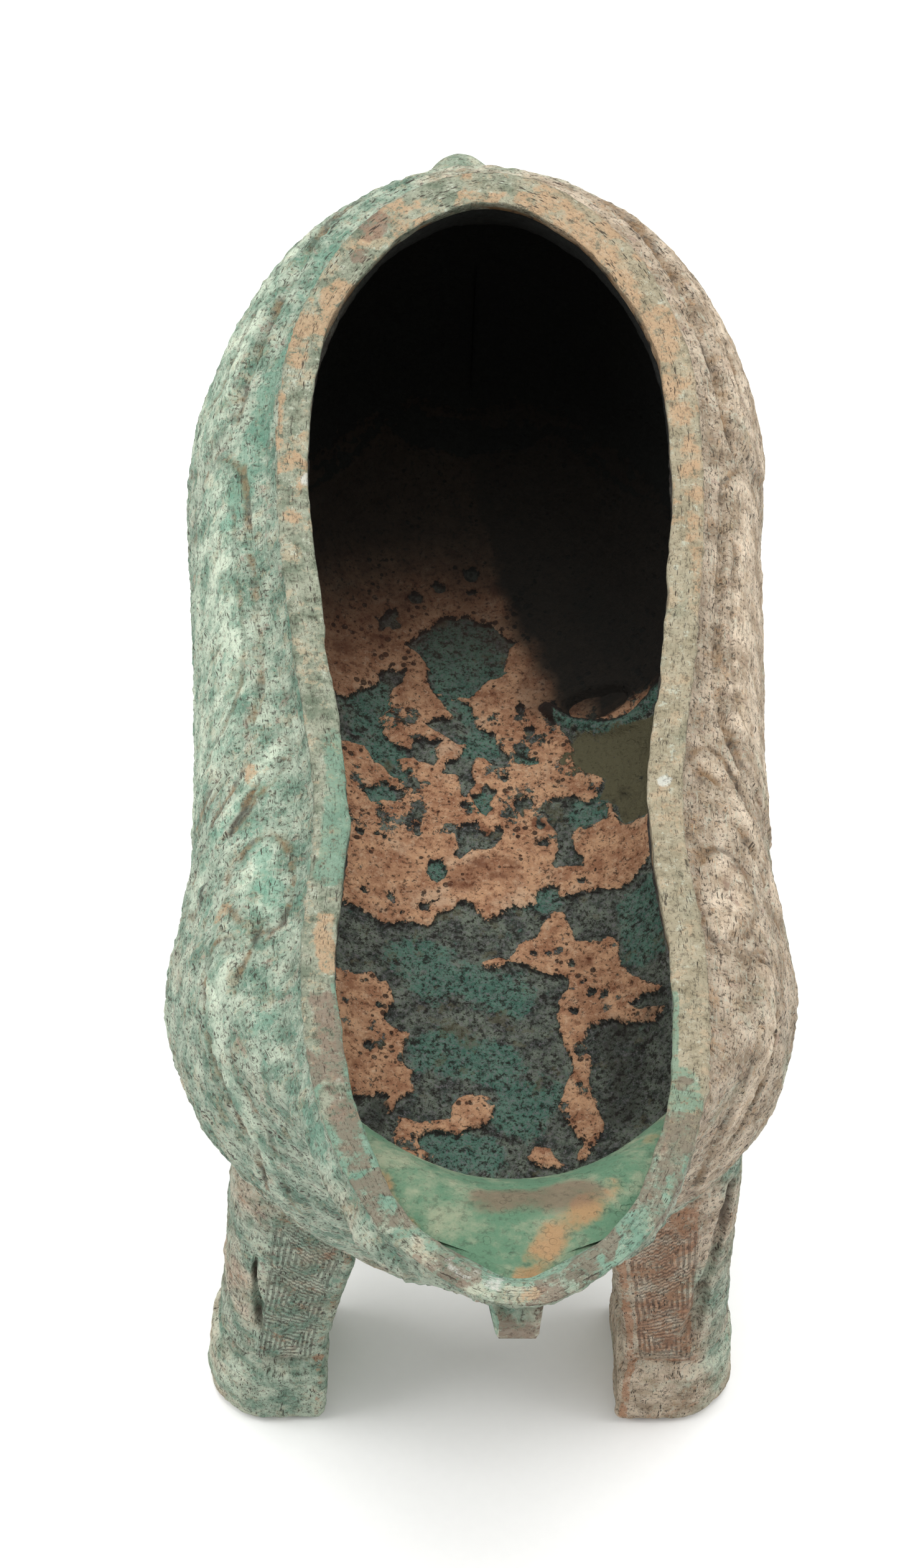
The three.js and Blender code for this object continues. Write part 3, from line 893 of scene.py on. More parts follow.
@dataclass(frozen=True)
class LiningFinish:
    """The corroded inside: dark green metal under a flaking terracotta crust, and a green spout,
    with painted shade at the rear, on the right, up the walls and in the hollow, and painted shadow
    lines under the crust's edges.
    """

    name: str = "corroded_lining"
    metal_dark: Colour = colour(52, 60, 54)
    metal_light: Colour = colour(122, 132, 116)
    teal: Colour = colour(84, 134, 116)
    lilac: Colour = colour(128, 124, 126)
    crust_dark: Colour = colour(162, 114, 84)
    crust_light: Colour = colour(214, 168, 130)
    crust_pale: Colour = colour(222, 190, 158)
    rust: Colour = colour(104, 54, 32)
    olive: Colour = colour(100, 96, 72)
    shade_umber: Colour = colour(52, 33, 25)
    deep_shade: Colour = colour(17, 19, 16)
    channel: Colour = colour(86, 120, 94)
    channel_pale: Colour = colour(138, 146, 120)
    peach: Colour = colour(168, 124, 84)
    brown: Colour = colour(110, 88, 72)
    grime_and_shade: Colour = colour(30, 25, 21)
    rough: float = 0.78

    def build(self, groups: Groups) -> bpy.types.Material:
        """Makes the material.

        Args:
            groups: The shared shader groups.

        Returns:
            The material, which reads the piece's three mask attributes.
        """
        graph, surface = Graph.opened(self.name)
        place = graph.node("TexCoord").outputs["Object"]
        # The zones' third part is painted shade, and the marks' first part is a painted shadow line
        # under the crust's edges.
        crust, olive, shade, lip = graph.masks("zones")
        rust, teal, brown, peach = graph.masks("stains")
        under, broken, *_ = graph.masks("marks")
        fine = graph.noise(place, 1100, 5, 0.72)
        cloud = graph.noise(place, 240, 8, 0.68)
        whorl = graph.noise(place, 90, 9, 0.7)
        crumb = graph.noise(place, 520, 7, 0.75)
        pores = graph.grouped(groups.pits(), place, scale=520, size=0.42)
        wander = graph.times(graph.less(graph.total((fine, 1.0), (crumb, 1.8)), 1.4), 1.6)
        edge = graph.add(graph.times(graph.less(crust, 0.5), 8.0), wander)
        torn = graph.add(graph.noise(place, 190, 9, 0.74), graph.times(broken, 0.1))
        covered = graph.times(graph.step(edge, -0.05, 0.07), graph.step(torn, 0.66, 0.645))
        rings = graph.math("FRACT", graph.times(whorl, 13.0))
        metal = graph.mix(graph.step(cloud, 0.36, 0.64), self.metal_dark, self.metal_light)
        metal = graph.cover(metal, (
            (graph.total((whorl, 1.0), (teal, 1.0), (crumb, 0.7)), 0.95, 1.08, 0.65, self.teal),
            (rings, 0.2, 0.06, 0.55, self.grime_and_shade),
            (rings, 0.72, 0.9, 0.4, self.lilac),
            (fine, 0.55, 0.6, 0.6, self.lilac),
            (crumb, 0.47, 0.4, 0.85, self.grime_and_shade),
            (fine, 0.47, 0.4, 0.8, self.grime_and_shade),
            (graph.noise(place, 150, 8, 0.7), 0.58, 0.62, 0.5, self.olive),
            (graph.add(olive, cloud), 0.9, 1.0, 1.0, self.olive),
            (fine, 0.45, 0.37, 0.4, self.grime_and_shade),
        ))
        earth = graph.mix(graph.step(cloud, 0.34, 0.66), self.crust_dark, self.crust_light)
        earth = graph.cover(earth, ((whorl, 0.54, 0.66, 0.6, self.crust_pale),))
        earth = graph.mix(graph.times(pores, 0.85), earth, self.grime_and_shade)
        earth = graph.cover(earth, (
            (crumb, 0.44, 0.38, 0.6, self.rust),
            (crumb, 0.56, 0.62, 0.5, self.crust_pale),
            (fine, 0.45, 0.39, 0.75, self.grime_and_shade),
            (fine, 0.57, 0.63, 0.4, self.crust_pale),
            (graph.add(rust, cloud), 0.78, 1.0, 0.8, self.rust),
        ))
        base = graph.mix(covered, metal, earth)
        # Dark floor patches: dark crust, and by the right wall also painted shade.
        base = graph.cover(base, ((graph.add(brown, cloud), 0.8, 1.1, 0.8, self.grime_and_shade),))
        spout = graph.mix(graph.step(whorl, 0.42, 0.64), self.channel, self.channel_pale)
        runs = graph.add(peach, graph.noise(place, 130, 9, 0.66))
        spout = graph.cover(spout, (
            (runs, 0.84, 1.12, 0.75, self.peach),
            (graph.add(brown, whorl), 0.66, 1.0, 0.75, self.brown),
            (crumb, 0.48, 0.38, 0.35, self.grime_and_shade),
        ))
        base = graph.mix(lip, base, spout)
        # Painted shadow: a dark line on the metal just in front of each crust edge.
        base = graph.mix(graph.times(under, graph.less(1.0, covered)), base, self.grime_and_shade)
        # Painted shade: where the shade mask is high the colour goes to a dark brown, and where it
        # is highest to near black.
        dusk = graph.mix(graph.step(shade, 0.6, 0.96), self.shade_umber, self.deep_shade)
        base = graph.mix(shade, base, dusk)
        rise = graph.total(
            (crumb, 1.3), (fine, 0.7), (whorl, 4.0), (cloud, 1.6), (covered, 1.0), (pores, -0.6)
        )
        bump = {"Height": rise, "Distance": 0.0007, "Strength": 0.9}
        graph.dress(surface, base, bump, self.rough)
        return graph.material


FLANK_PANELS = (
    Panel(
        (
            (0.985, 0.4), (0.955, 0.355), (0.923, 0.33), (0.89, 0.295), (0.86, 0.28), (0.83, 0.275),
            (0.79, 0.28), (0.76, 0.3), (0.747, 0.345), (0.75, 0.4), (0.775, 0.44), (0.82, 0.455),
            (0.88, 0.45), (0.94, 0.455), (0.98, 0.46),
        ),
        1.5,
        0.8,
    ),
    Panel(
        (
            (0.713, 0.27), (0.683, 0.26), (0.633, 0.255), (0.587, 0.255), (0.553, 0.26),
            (0.53, 0.28),
            (0.51, 0.32), (0.497, 0.36), (0.493, 0.41), (0.5, 0.47), (0.53, 0.52), (0.57, 0.49),
            (0.63, 0.44), (0.69, 0.41), (0.728, 0.37), (0.73, 0.31),
        ),
        1.5,
    ),
    Panel(
        (
            (0.493, 0.2), (0.505, 0.225), (0.503, 0.255), (0.49, 0.29), (0.472, 0.325),
            (0.462, 0.37),
            (0.43, 0.42), (0.41, 0.4), (0.435, 0.36), (0.452, 0.31), (0.468, 0.275), (0.48, 0.235),
        ),
        1.4,
        0.9,
    ),
    Panel(
        (
            (0.427, 0.25), (0.42, 0.3), (0.397, 0.33), (0.363, 0.285), (0.357, 0.225),
            (0.387, 0.21),
        ),
        1.2,
        1.2,
        0.8,
    ),
    Panel(
        (
            (0.36, 0.265), (0.348, 0.29), (0.356, 0.35), (0.343, 0.372), (0.32, 0.392),
            (0.287, 0.402), (0.253, 0.415), (0.227, 0.435), (0.207, 0.45), (0.185, 0.5),
            (0.17, 0.49), (0.19, 0.42), (0.24, 0.375), (0.3, 0.335), (0.335, 0.29),
        ),
        1.4,
    ),
)

FLANK_LINES = (
    Line(
        ((0.935, 0.32), (0.89, 0.285), (0.83, 0.262), (0.79, 0.266), (0.75, 0.29), (0.738, 0.35)),
        1.3, -1.2,
    ),
    Line(
        (
            (0.722, 0.262), (0.683, 0.249), (0.587, 0.244), (0.55, 0.25), (0.52, 0.28),
            (0.487, 0.36),
            (0.483, 0.43),
        ),
        1.1, -1.0, 0.8,
    ),
    Line(((0.693, 0.29), (0.64, 0.283), (0.59, 0.284), (0.55, 0.3), (0.527, 0.345),
    (0.517, 0.4)), 0.8, -0.6, 0.5),
    Line(((0.93, 0.375), (0.88, 0.335), (0.83, 0.315), (0.79, 0.325), (0.775, 0.37)),
    0.9, -0.7, 0.6),
    Line(((0.487, 0.22), (0.483, 0.25), (0.47, 0.285), (0.457, 0.305), (0.44, 0.35)), 1.1, -0.9),
    Line(
        (
            (0.36, 0.265), (0.343, 0.285), (0.35, 0.35), (0.338, 0.368), (0.287, 0.39),
            (0.253, 0.405),
            (0.227, 0.425), (0.207, 0.44), (0.2, 0.47),
        ),
        1.5, -1.4,
    ),
    Line(((0.43, 0.23), (0.4, 0.2), (0.365, 0.205), (0.345, 0.25)), 0.9, -0.5, 0.5),
    Line(((0.18, 0.53), (0.24, 0.52), (0.31, 0.51), (0.38, 0.49), (0.44, 0.46)), 1.2, -0.8, 0.6),
)


class Stretch(IntEnum):
    """The stretches of the shell's section: up outside, over the rim, and down inside."""

    OUTSIDE = 0
    OUTER_CORNER = 1
    TOP = 2
    INNER_CORNER = 3
    INSIDE = 4


@dataclass(frozen=True)
class SideLook:
    """How one side of the casting looks beside the other.

    Its strengths are those of the rough skin, the warm tone, the green near the rim, the green
    spots, the peach tone behind, and the relief's raised and cut parts. The lean is in millimetres.
    """

    rough: float
    lean: float
    warm: float
    band: float
    spots: float
    peach: float
    proud: float
    cut: float


LOOKS = {
    Side.RIGHT: SideLook(0.7, -0.8, 0.74, 0.2, 0.2, 1.0, 0.5, 0.75),
    Side.LEFT: SideLook(1.0, 1.9, 0.06, 0.42, 0.36, 0.7, 0.2, 0.42),
}


@dataclass
class Body:
    """The cast shell and its lining, each in a right and a left half."""

    form: VesselForm
    shell_columns: int = 470
    lining_columns: int = 330
    corner: float = 1.3
    edge: float = 0.012
    overlap: float = 2.0
    lining_top: float = 0.07
    lining_back: float = -1.4
    floor_top: float = 90.0

    def rows(self) -> tuple[Array, Array]:
        """The shell's rows from the belly line, over the rim, to the floor inside.

        Returns:
            Each row's stretch, and its place on that stretch.
        """
        parts = (
            (Stretch.OUTSIDE, np.linspace(1, 0.56, 24, endpoint=False)),
            (Stretch.OUTSIDE, np.linspace(0.56, self.edge, 134)),
            (Stretch.OUTER_CORNER, np.linspace(0, 1, 6)[1:-1]),
            (Stretch.TOP, np.linspace(0, 1, 12)),
            (Stretch.INNER_CORNER, np.linspace(0, 1, 6)[1:-1]),
            (Stretch.INSIDE, np.linspace(self.edge, 0.16, 12)),
            (Stretch.INSIDE, np.linspace(0.16, 1, 12)[1:]),
        )
        kinds = np.concatenate([np.full(len(values), int(kind)) for kind, values in parts])
        return kinds, np.concatenate([values for _, values in parts])

    def section(self, around: Array, kind: Array, value: Array) -> tuple[Array, Array, Array]:
        """The plain shell, before its relief.

        Args:
            around: Shares of the way round the rim from the lip.
            kind: Each point's stretch.
            value: Its place on that stretch.

        Returns:
            The points, the ways in which they rise, and the ways across the rim.
        """
        outside, inside = kind == Stretch.OUTSIDE, kind == Stretch.INSIDE
        outer_down = np.where(outside, value, self.edge)
        outer, normal = self.form.skin(around, outer_down), self.form.normal(around, outer_down)
        inner, into = self.form.inner(around, np.where(inside, value, self.edge))
        inner = inner + into * (self.overlap * smooth(0.08, 0.13, value) * inside)[:, None]
        level = np.zeros(len(around))
        top, inner_top = self.form.skin(around, level), self.form.inner(around, level)[0]
        across = unit(inner_top - top)
        near, far = top + across * self.corner, inner_top - across * self.corner
        share, up = value[:, None], np.array([0, 0, 1.0])

        def rounded(start: Array, corner: Array, end: Array) -> Array:
            """A corner turned softly."""
            return (1 - share) ** 2 * start + 2 * share * (1 - share) * corner + share**2 * end

        corners = rounded(outer, top, near), rounded(far, inner_top, inner)
        stretches = (outer, corners[0], blend(near, far, share), corners[1], inner)
        points = np.choose(kind[:, None], stretches)
        return points, np.choose(kind[:, None], (normal, up, up, up, -into)), across

    def shell(self, side: Side, material: bpy.types.Material) -> bpy.types.Object:
        """Half of the cast shell, with its rim and its relief.

        Args:
            side: The half's side.
            material: Its finish.

        Returns:
            The half.
        """
        look = LOOKS[side]
        kinds, values = self.rows()
        sheet = Sheet(self.shell_columns, len(kinds) - 1)
        kind, value = kinds[sheet.row], values[sheet.row]
        outside, inside = (kind == Stretch.OUTSIDE).astype(float), kind == Stretch.INSIDE
        points, way, across = self.section(side.value * sheet.across * 0.5, kind, value)
        places = np.stack([sheet.across, np.where(outside, value, -1)], axis=1)
        relief = Relief(self.form, side, FLANK_PANELS, FLANK_LINES, look.proud, look.cut)
        height, dirt, plain = relief.at(points, places)
        dirt *= 0.5 + 0.5 * smooth(0.34, 0.52, 0.5 + uneven(Seed.DIRT, points, 9.0, 3))
        rough = uneven(Seed.SHELL_ROUGH, points * [1, 1, 0.45], 3.4) * (1 - 0.5 * plain)
        fine = uneven(Seed.SHELL_FINE, points, 1.3, 2)
        lift = outside * (height + look.rough * (1.1 * rough + 1.2 * fine))
        lift += 0.6 * uneven(Seed.SHELL_SWELL, points, 22.0, 2)
        lean = outside * smooth(0, 14, np.abs(points[:, 0])) * smooth(0.03, 0.16, value)
        lift += look.lean * lean * smooth(90, 40, points[:, 1])
        lift += (1 - outside) * (0.5 * rough + 0.25 * fine)
        lift = np.where(inside, lift * 0.3 * smooth(0.2, 0.0, value), lift)
        points = points + way * lift[:, None]
        worn = (kind >= Stretch.INNER_CORNER) * smooth(0.2, 0, np.where(inside, value, 0))
        worn = 1.5 * uneven(Seed.RIM_WEAR, points, 7.0, 3) * worn
        points = points - across * worn[:, None]
        middle = sheet.sides() | (sheet.row == 0) | (sheet.row == sheet.rows)
        points[:, 0] = np.where(middle, 0.0, points[:, 0])
        sheet.bend(points)
        y, z = points[:, 1], points[:, 2]
        warm = blend(look.warm, 0.3, outside * smooth(0.4, 0.6, value))
        reach = 14.0 + 26.0 * smooth(95, 125, y)
        warm = blend(0.4, warm, smooth(0.0, reach, np.abs(points[:, 0])))
        warm = blend(warm, 0.3, smooth(-112, -134, y) * smooth(120, 140, z))
        rimmed = np.where(outside, smooth(0.03, self.edge, value), 1.0)
        rimmed *= blend(1.0, 0.35, smooth(-118, -140, y))
        # Painted shade: the inside face just below the rim goes dark, except at the spout; it
        # shares the groove dirt's mask.
        dark = 1.2 * inside * smooth(0.03, 0.06, value) * smooth(-104, -84, y)
        sheet.paint("zones", np.maximum(dirt * outside, dark), warm, plain * outside, rimmed)
        sheet.paint("stains", *self.shell_stains(look, points, kind, value, plain))
        sheet.close()
        return sheet.finish(f"shell_{side.name.lower()}", material)

    @staticmethod
    def shell_stains(
        look: SideLook, points: Array, kind: Array, value: Array, plain: Array
    ) -> list[Array]:
        """How strongly each kind of stain lies on the shell.

        Args:
            look: The side's look.
            points: The shell's points.
            kind: Each point's stretch.
            value: Its place on that stretch.
            plain: How smooth the surface is there.

        Returns:
            The masks, in the order of the kinds.
        """
        y = points[:, 1]
        outside, rim = kind == Stretch.OUTSIDE, (kind > 0) & (kind < Stretch.INSIDE)
        cloud = 0.5 + uneven(Seed.STAIN_CLOUD, points * [1, 0.4, 1], 12.0, 3)
        patchy = smooth(-0.04, 0.1, uneven(Seed.PEACH, points, 9.0, 3)) * rim
        bronze = smooth(-0.04, 0.06, uneven(Seed.BRONZE, points, 8.0, 3))
        lip = (kind >= Stretch.OUTER_CORNER) * smooth(-90, -116, y)
        throat = (kind >= Stretch.INNER_CORNER) * smooth(-70, -100, y)
        extras = {
            Stain.TURQUOISE: (
                look.band * outside * smooth(0.32, 0.12, value) * smooth(0.36, 0.56, cloud),
                look.spots * outside * (1 - 0.7 * plain) * smooth(0.5, 0.62, cloud),
                0.6 * lip * smooth(0.3, 0.5, cloud),
                0.6 * throat,
            ),
            Stain.PEACH: (patchy * blend(0.3, 0.5, smooth(0, 50, y) * look.peach),),
            Stain.BROWN: (0.5 * bronze * (kind > 0) * smooth(-88, -110, y),),
            Stain.CHALK: (),
        }
        return [np.max([StainMap.at(points, s), *extras[s]], axis=0) for s in Stain]

    def lining(self, side: Side, material: bpy.types.Material) -> bpy.types.Object:
        """Half of the corroded lining, with painted shade and painted shadow in its masks.

        Args:
            side: The half's side.
            material: Its finish.

        Returns:
            The half.
        """
        front = (
            np.linspace(self.lining_top, 0.3, 50, endpoint=False),
            np.linspace(0.3, 1, 222),
        )
        face = sum(len(part) for part in front)
        downs = np.concatenate([*front, np.linspace(1, self.lining_top, 9)])
        sheet = Sheet(self.lining_columns, len(downs) - 1)
        down, behind = downs[sheet.row], sheet.row >= face
        plain, into = self.form.inner(side.value * sheet.across * 0.5, down)
        x, y, z = plain.T
        low = z < self.floor_top
        ledge = distance_to_line(plain[:, :2], np.array(Crust.LEDGE, float), 6.0)
        ledge = np.where(low, ledge, 6.0)
        crust = np.minimum(Crust.at(plain), ledge - 2.2)
        spout = smooth(-104, -113, y) * smooth(135, 145, z)
        grain = uneven(Seed.LINING, plain, 6.0)
        fine = Grain(Seed.LINING_FINE).at(plain, 0.9) - 0.5
        hollow = low * smooth(1.0, 0.5, np.hypot((x - 27.5) / 8.5, (y - 46.5) / 5.0))
        proud = 0.3 + 0.9 * smooth(-0.35, 0.3, crust) * (1 - spout)
        proud += (0.9 * grain + 0.4 * fine) * (1 - 0.6 * spout)
        proud += 1.8 * smooth(2.6, 0.8, ledge) - 3.6 * hollow
        proud = blend(self.lining_back, proud, smooth(self.lining_top, 0.11, down))
        proud = np.where(behind, self.lining_back, proud)
        points = plain - into * proud[:, None]
        points[:, 0] = np.where(sheet.sides() | (down > 1 - 1e-6), 0.0, points[:, 0])
        sheet.bend(points)
        # Painted shade inside: darker towards the rear, up the walls except near the spout, on the
        # right side behind the ledge, and nearly black in the hollow; the finish turns it to dark
        # brown and then near black.
        back = y + 0.012 * np.minimum(x + 6, 0) ** 2 + 10 * grain
        right = smooth(4, 21, x + 0.35 * (y - 52) + 9 * grain) * smooth(40, 46, y)
        shades = (
            0.97 * smooth(28, 98, back),
            0.8 * smooth(92, 118, z) * smooth(-90, -60, y),
            0.985 * right * smooth(0.6, 2.0, ledge),
            0.97 * hollow,
        )
        masks = LiningMap.at(points)
        tan = 0.62 * low * smooth(-1, 1.5, Crust.reach(points[:, :2], Crust.TAN))
        olive = np.maximum(masks["olive"], tan)
        teal = np.maximum(masks["teal"], 0.5 * smooth(2.2, 1.2, ledge))
        crusty = np.clip(0.5 + crust / 8, 0, 1)
        sheet.paint("zones", crusty, olive, np.max(shades, axis=0), spout)
        sheet.paint("stains", masks["rust"], teal, masks["brown"], masks["peach"])
        # Painted shadow: a dark line where a crust edge lies just behind, on the side towards the
        # lip.
        ahead = Crust.at(plain + np.array([0, 1.0, 0]))
        shadow = smooth(0.1, 0.5, ahead) * smooth(0.3, -0.1, crust) * (1 - spout)
        broken = np.maximum(between(6, 14, 44, 52, y), 0.6 * smooth(-12, -20, y))
        none = np.zeros(len(points))
        sheet.paint("marks", shadow, broken, none, none)
        sheet.close(seam=True)
        return sheet.finish(f"lining_{side.name.lower()}", material)


class Stain(Enum):
    """Kinds of stain on the outside; the pale and turquoise strokes on the lip's edge are painted
    highlights.
    """

    TURQUOISE = "turquoise"
    PEACH = "peach"
    BROWN = "brown"
    CHALK = "chalk"


@dataclass(frozen=True)
class Stroke:
    """A stain along a path, in millimetres: its reach and its strength."""

    path: tuple[tuple[float, ...], ...]
    radius: float
    strength: float = 0.55

    def at(self, points: Array) -> Array:
        """How strongly the stain lies at points, which have as many dimensions as the path."""
        line = np.array((*self.path, self.path[-1]), float)
        reach = distance_to_line(points, line, self.radius * 1.5)
        return self.strength * smooth(self.radius * 1.5, self.radius * 0.3, reach)


def strongest(strokes: tuple[Stroke, ...], points: Array) -> Array:
    """The strongest of several strokes at points."""
    return np.max([stroke.at(points) for stroke in strokes], axis=0)


class StainMap:
    """Where each kind of stain lies on the outside."""

    STROKES: dict[Stain, tuple[Stroke, ...]] = {
        Stain.TURQUOISE: (
            Stroke(((-32, 92, 156), (-36, 73, 158), (-43, 62, 151), (-47, 43, 146),
            (-50, 31, 141)), 5),
            Stroke(((-50, 14, 138), (-48, -10, 138)), 4, 0.4),
            Stroke(((-50, -42, 136), (-47, -39, 138), (-40, -66, 143)), 4, 0.46),
            Stroke(((-59, -51, 105),), 9, 0.4), Stroke(((-42, -90, 143),), 8, 0.44),
            Stroke(((-30, -30, 150), (-29, -44, 149), (-31, -62, 150)), 4),
            Stroke(((-28, -100, 154), (-26, -119, 158)), 3),
            # A painted highlight on the lip's edge, in turquoise.
            Stroke(((-11, -151, 166), (-4, -156, 167)), 4, 0.45),
        ),
        Stain.PEACH: (
            Stroke(((-13, 95, 168), (-20, 90, 167)), 3, 0.45),
            Stroke(((-30, 76, 162), (-34, 68, 160)), 4),
            Stroke(((-38, 68, 160), (-39, 60, 158)), 4),
            Stroke(((-41, 58, 156), (-42, 40, 154)), 1.6),
            Stroke(((-39, 36, 154),), 4), Stroke(((-39, 23, 152),), 3),
            Stroke(((12, 96, 168), (25, 82, 163), (33, 66, 159), (36, 56, 157)), 6, 0.5),
            Stroke(((38, 50, 156), (40, 30, 153)), 4, 0.45),
            Stroke(((40, 23, 152), (40, 8, 150)), 3, 0.45),
            Stroke(((-32, -73, 151), (-31, -84, 153)), 3, 0.5),
            Stroke(((38, -82, 144), (36, -99, 147), (33, -115, 151)), 3, 0.42),
            Stroke(((-46, -34, 139), (-46, -31, 140), (-43, -31, 140)), 2),
            Stroke(((-49, -62, 136),), 4),
            Stroke(((3, -158, 168), (-2, -160, 168)), 2, 0.4),
        ),
        Stain.BROWN: (
            Stroke(((-23, 90, 166),), 5, 0.6), Stroke(((-26, 83, 165),), 3, 0.5),
            Stroke(((-34, 88, 155),), 3, 0.4), Stroke(((-35, 56, 157),), 1.5, 0.4),
            Stroke(((-32, -92, 154), (-30, -108, 157), (-29, -117, 159),
            (-26, -130, 162)), 3.5, 0.5),
            Stroke(((-23, -139, 164), (-21, -144, 165)), 3, 0.42),
            Stroke(((30, -127, 159), (27, -136, 162), (23, -142, 164)), 3.5, 0.42),
            Stroke(((44, -58, 140), (46, -48, 137)), 5, 0.38),
        ),
        Stain.CHALK: (
            Stroke(((31, -39, 149),), 2, 0.5), Stroke(((-36, 32, 153),), 2.4, 0.5),
            Stroke(((-40, 40, 154),), 1.4, 0.45),
            # A painted highlight on the lip's edge, pale.
            Stroke(((-10, -152, 167), (-4, -156, 167)), 3.6, 0.4),
        ),
    }

    @classmethod
    def at(cls, points: Array, stain: Stain) -> Array:
        """How strongly one kind of stain lies at points."""
        return strongest(cls.STROKES[stain], points)


class LiningMap:
    """Where the stains of the inside lie: in plan on the floor, in space in the spout."""

    RUST = (
        Stroke(((-3, 0), (2, 3), (6, 3)), 5, 0.4), Stroke(((3, 11), (1, 13)), 3, 0.45),
        Stroke(((14, 15), (16, 14)), 2.5, 0.45), Stroke(((22, -22),), 4, 0.35),
        Stroke(((-26, 60), (-10, 84), (8, 78)), 9, 0.35), Stroke(((25, -40), (22, -30)), 4, 0.35),
    )
    TEAL = (
        Stroke(((-12, -20), (-9, -26)), 6, 0.3), Stroke(((0, -27), (6, -29)), 6, 0.3),
        Stroke(((-10, -44), (4, -46)), 6, 0.3), Stroke(((11, -56), (8, -60)), 6, 0.3),
        Stroke(((-8, -65), (0, -67)), 5, 0.34), Stroke(((-22, 47), (-20, 30)), 7, 0.3),
        Stroke(((3, 36),), 5, 0.34), Stroke(((2, 20),), 4, 0.4), Stroke(((25, 17),), 4, 0.36),
        Stroke(((-20, 22),), 4, 0.34), Stroke(((12, 32),), 4, 0.34),
        Stroke(((36, -22), (34, -12)), 6, 0.3),
        Stroke(((15, -5),), 3, 0.36), Stroke(((-8, 3),), 3, 0.34),
        Stroke(((-2, 62), (1, 54)), 10, 0.34),
    )
    # Dark floor patches: dark crust, and those by the right wall also painted shade.
    BROWN = (
        Stroke(((27, -42), (30, -50), (28, -60)), 6, 0.45),
        Stroke(((-22, -62), (-20, -58)), 4, 0.45),
        Stroke(((26, 75), (34, 60)), 8, 0.4), Stroke(((-22, 70), (-16, 72)), 4, 0.2),
        Stroke(((36, -36), (34, -44)), 4, 0.4), Stroke(((30, 19), (36, 14)), 6, 0.36),
    )
    OLIVE = (
        Stroke(((24, 33), (31, 31), (37, 27)), 8, 0.62), Stroke(((22, 33), (26, 36)), 4, 0.55),
        Stroke(((12, 41),), 3.4, 0.42), Stroke(((24, 28),), 2, 0.45),
    )
    PEACH = (
        Stroke(((-24, -124, 161), (-22, -133, 162), (-20, -140, 164), (-16, -146, 165)), 3, 0.5),
        Stroke(((17, -134, 159), (11, -140, 162), (7, -144, 163), (1, -154, 167)), 4, 0.55),
        Stroke(((24, -121, 156), (22, -128, 157)), 3, 0.45),
    )
    SPOUT_BROWN = (Stroke(((-4, -138, 160), (5, -137, 160), (11, -136, 160)), 5, 0.5),)

    @classmethod
    def at(cls, points: Array) -> dict[str, Array]:
        """The masks by name at points."""
        low = points[:, 2] < 110
        plan = points[:, :2]
        masks = {
            "rust": strongest(cls.RUST, plan) * low,
            "teal": strongest(cls.TEAL, plan) * low,
            "brown": np.maximum(
                strongest(cls.BROWN, plan) * low, strongest(cls.SPOUT_BROWN, points)
            ),
            "olive": strongest(cls.OLIVE, plan) * low,
            "peach": strongest(cls.PEACH, points),
        }
        return masks


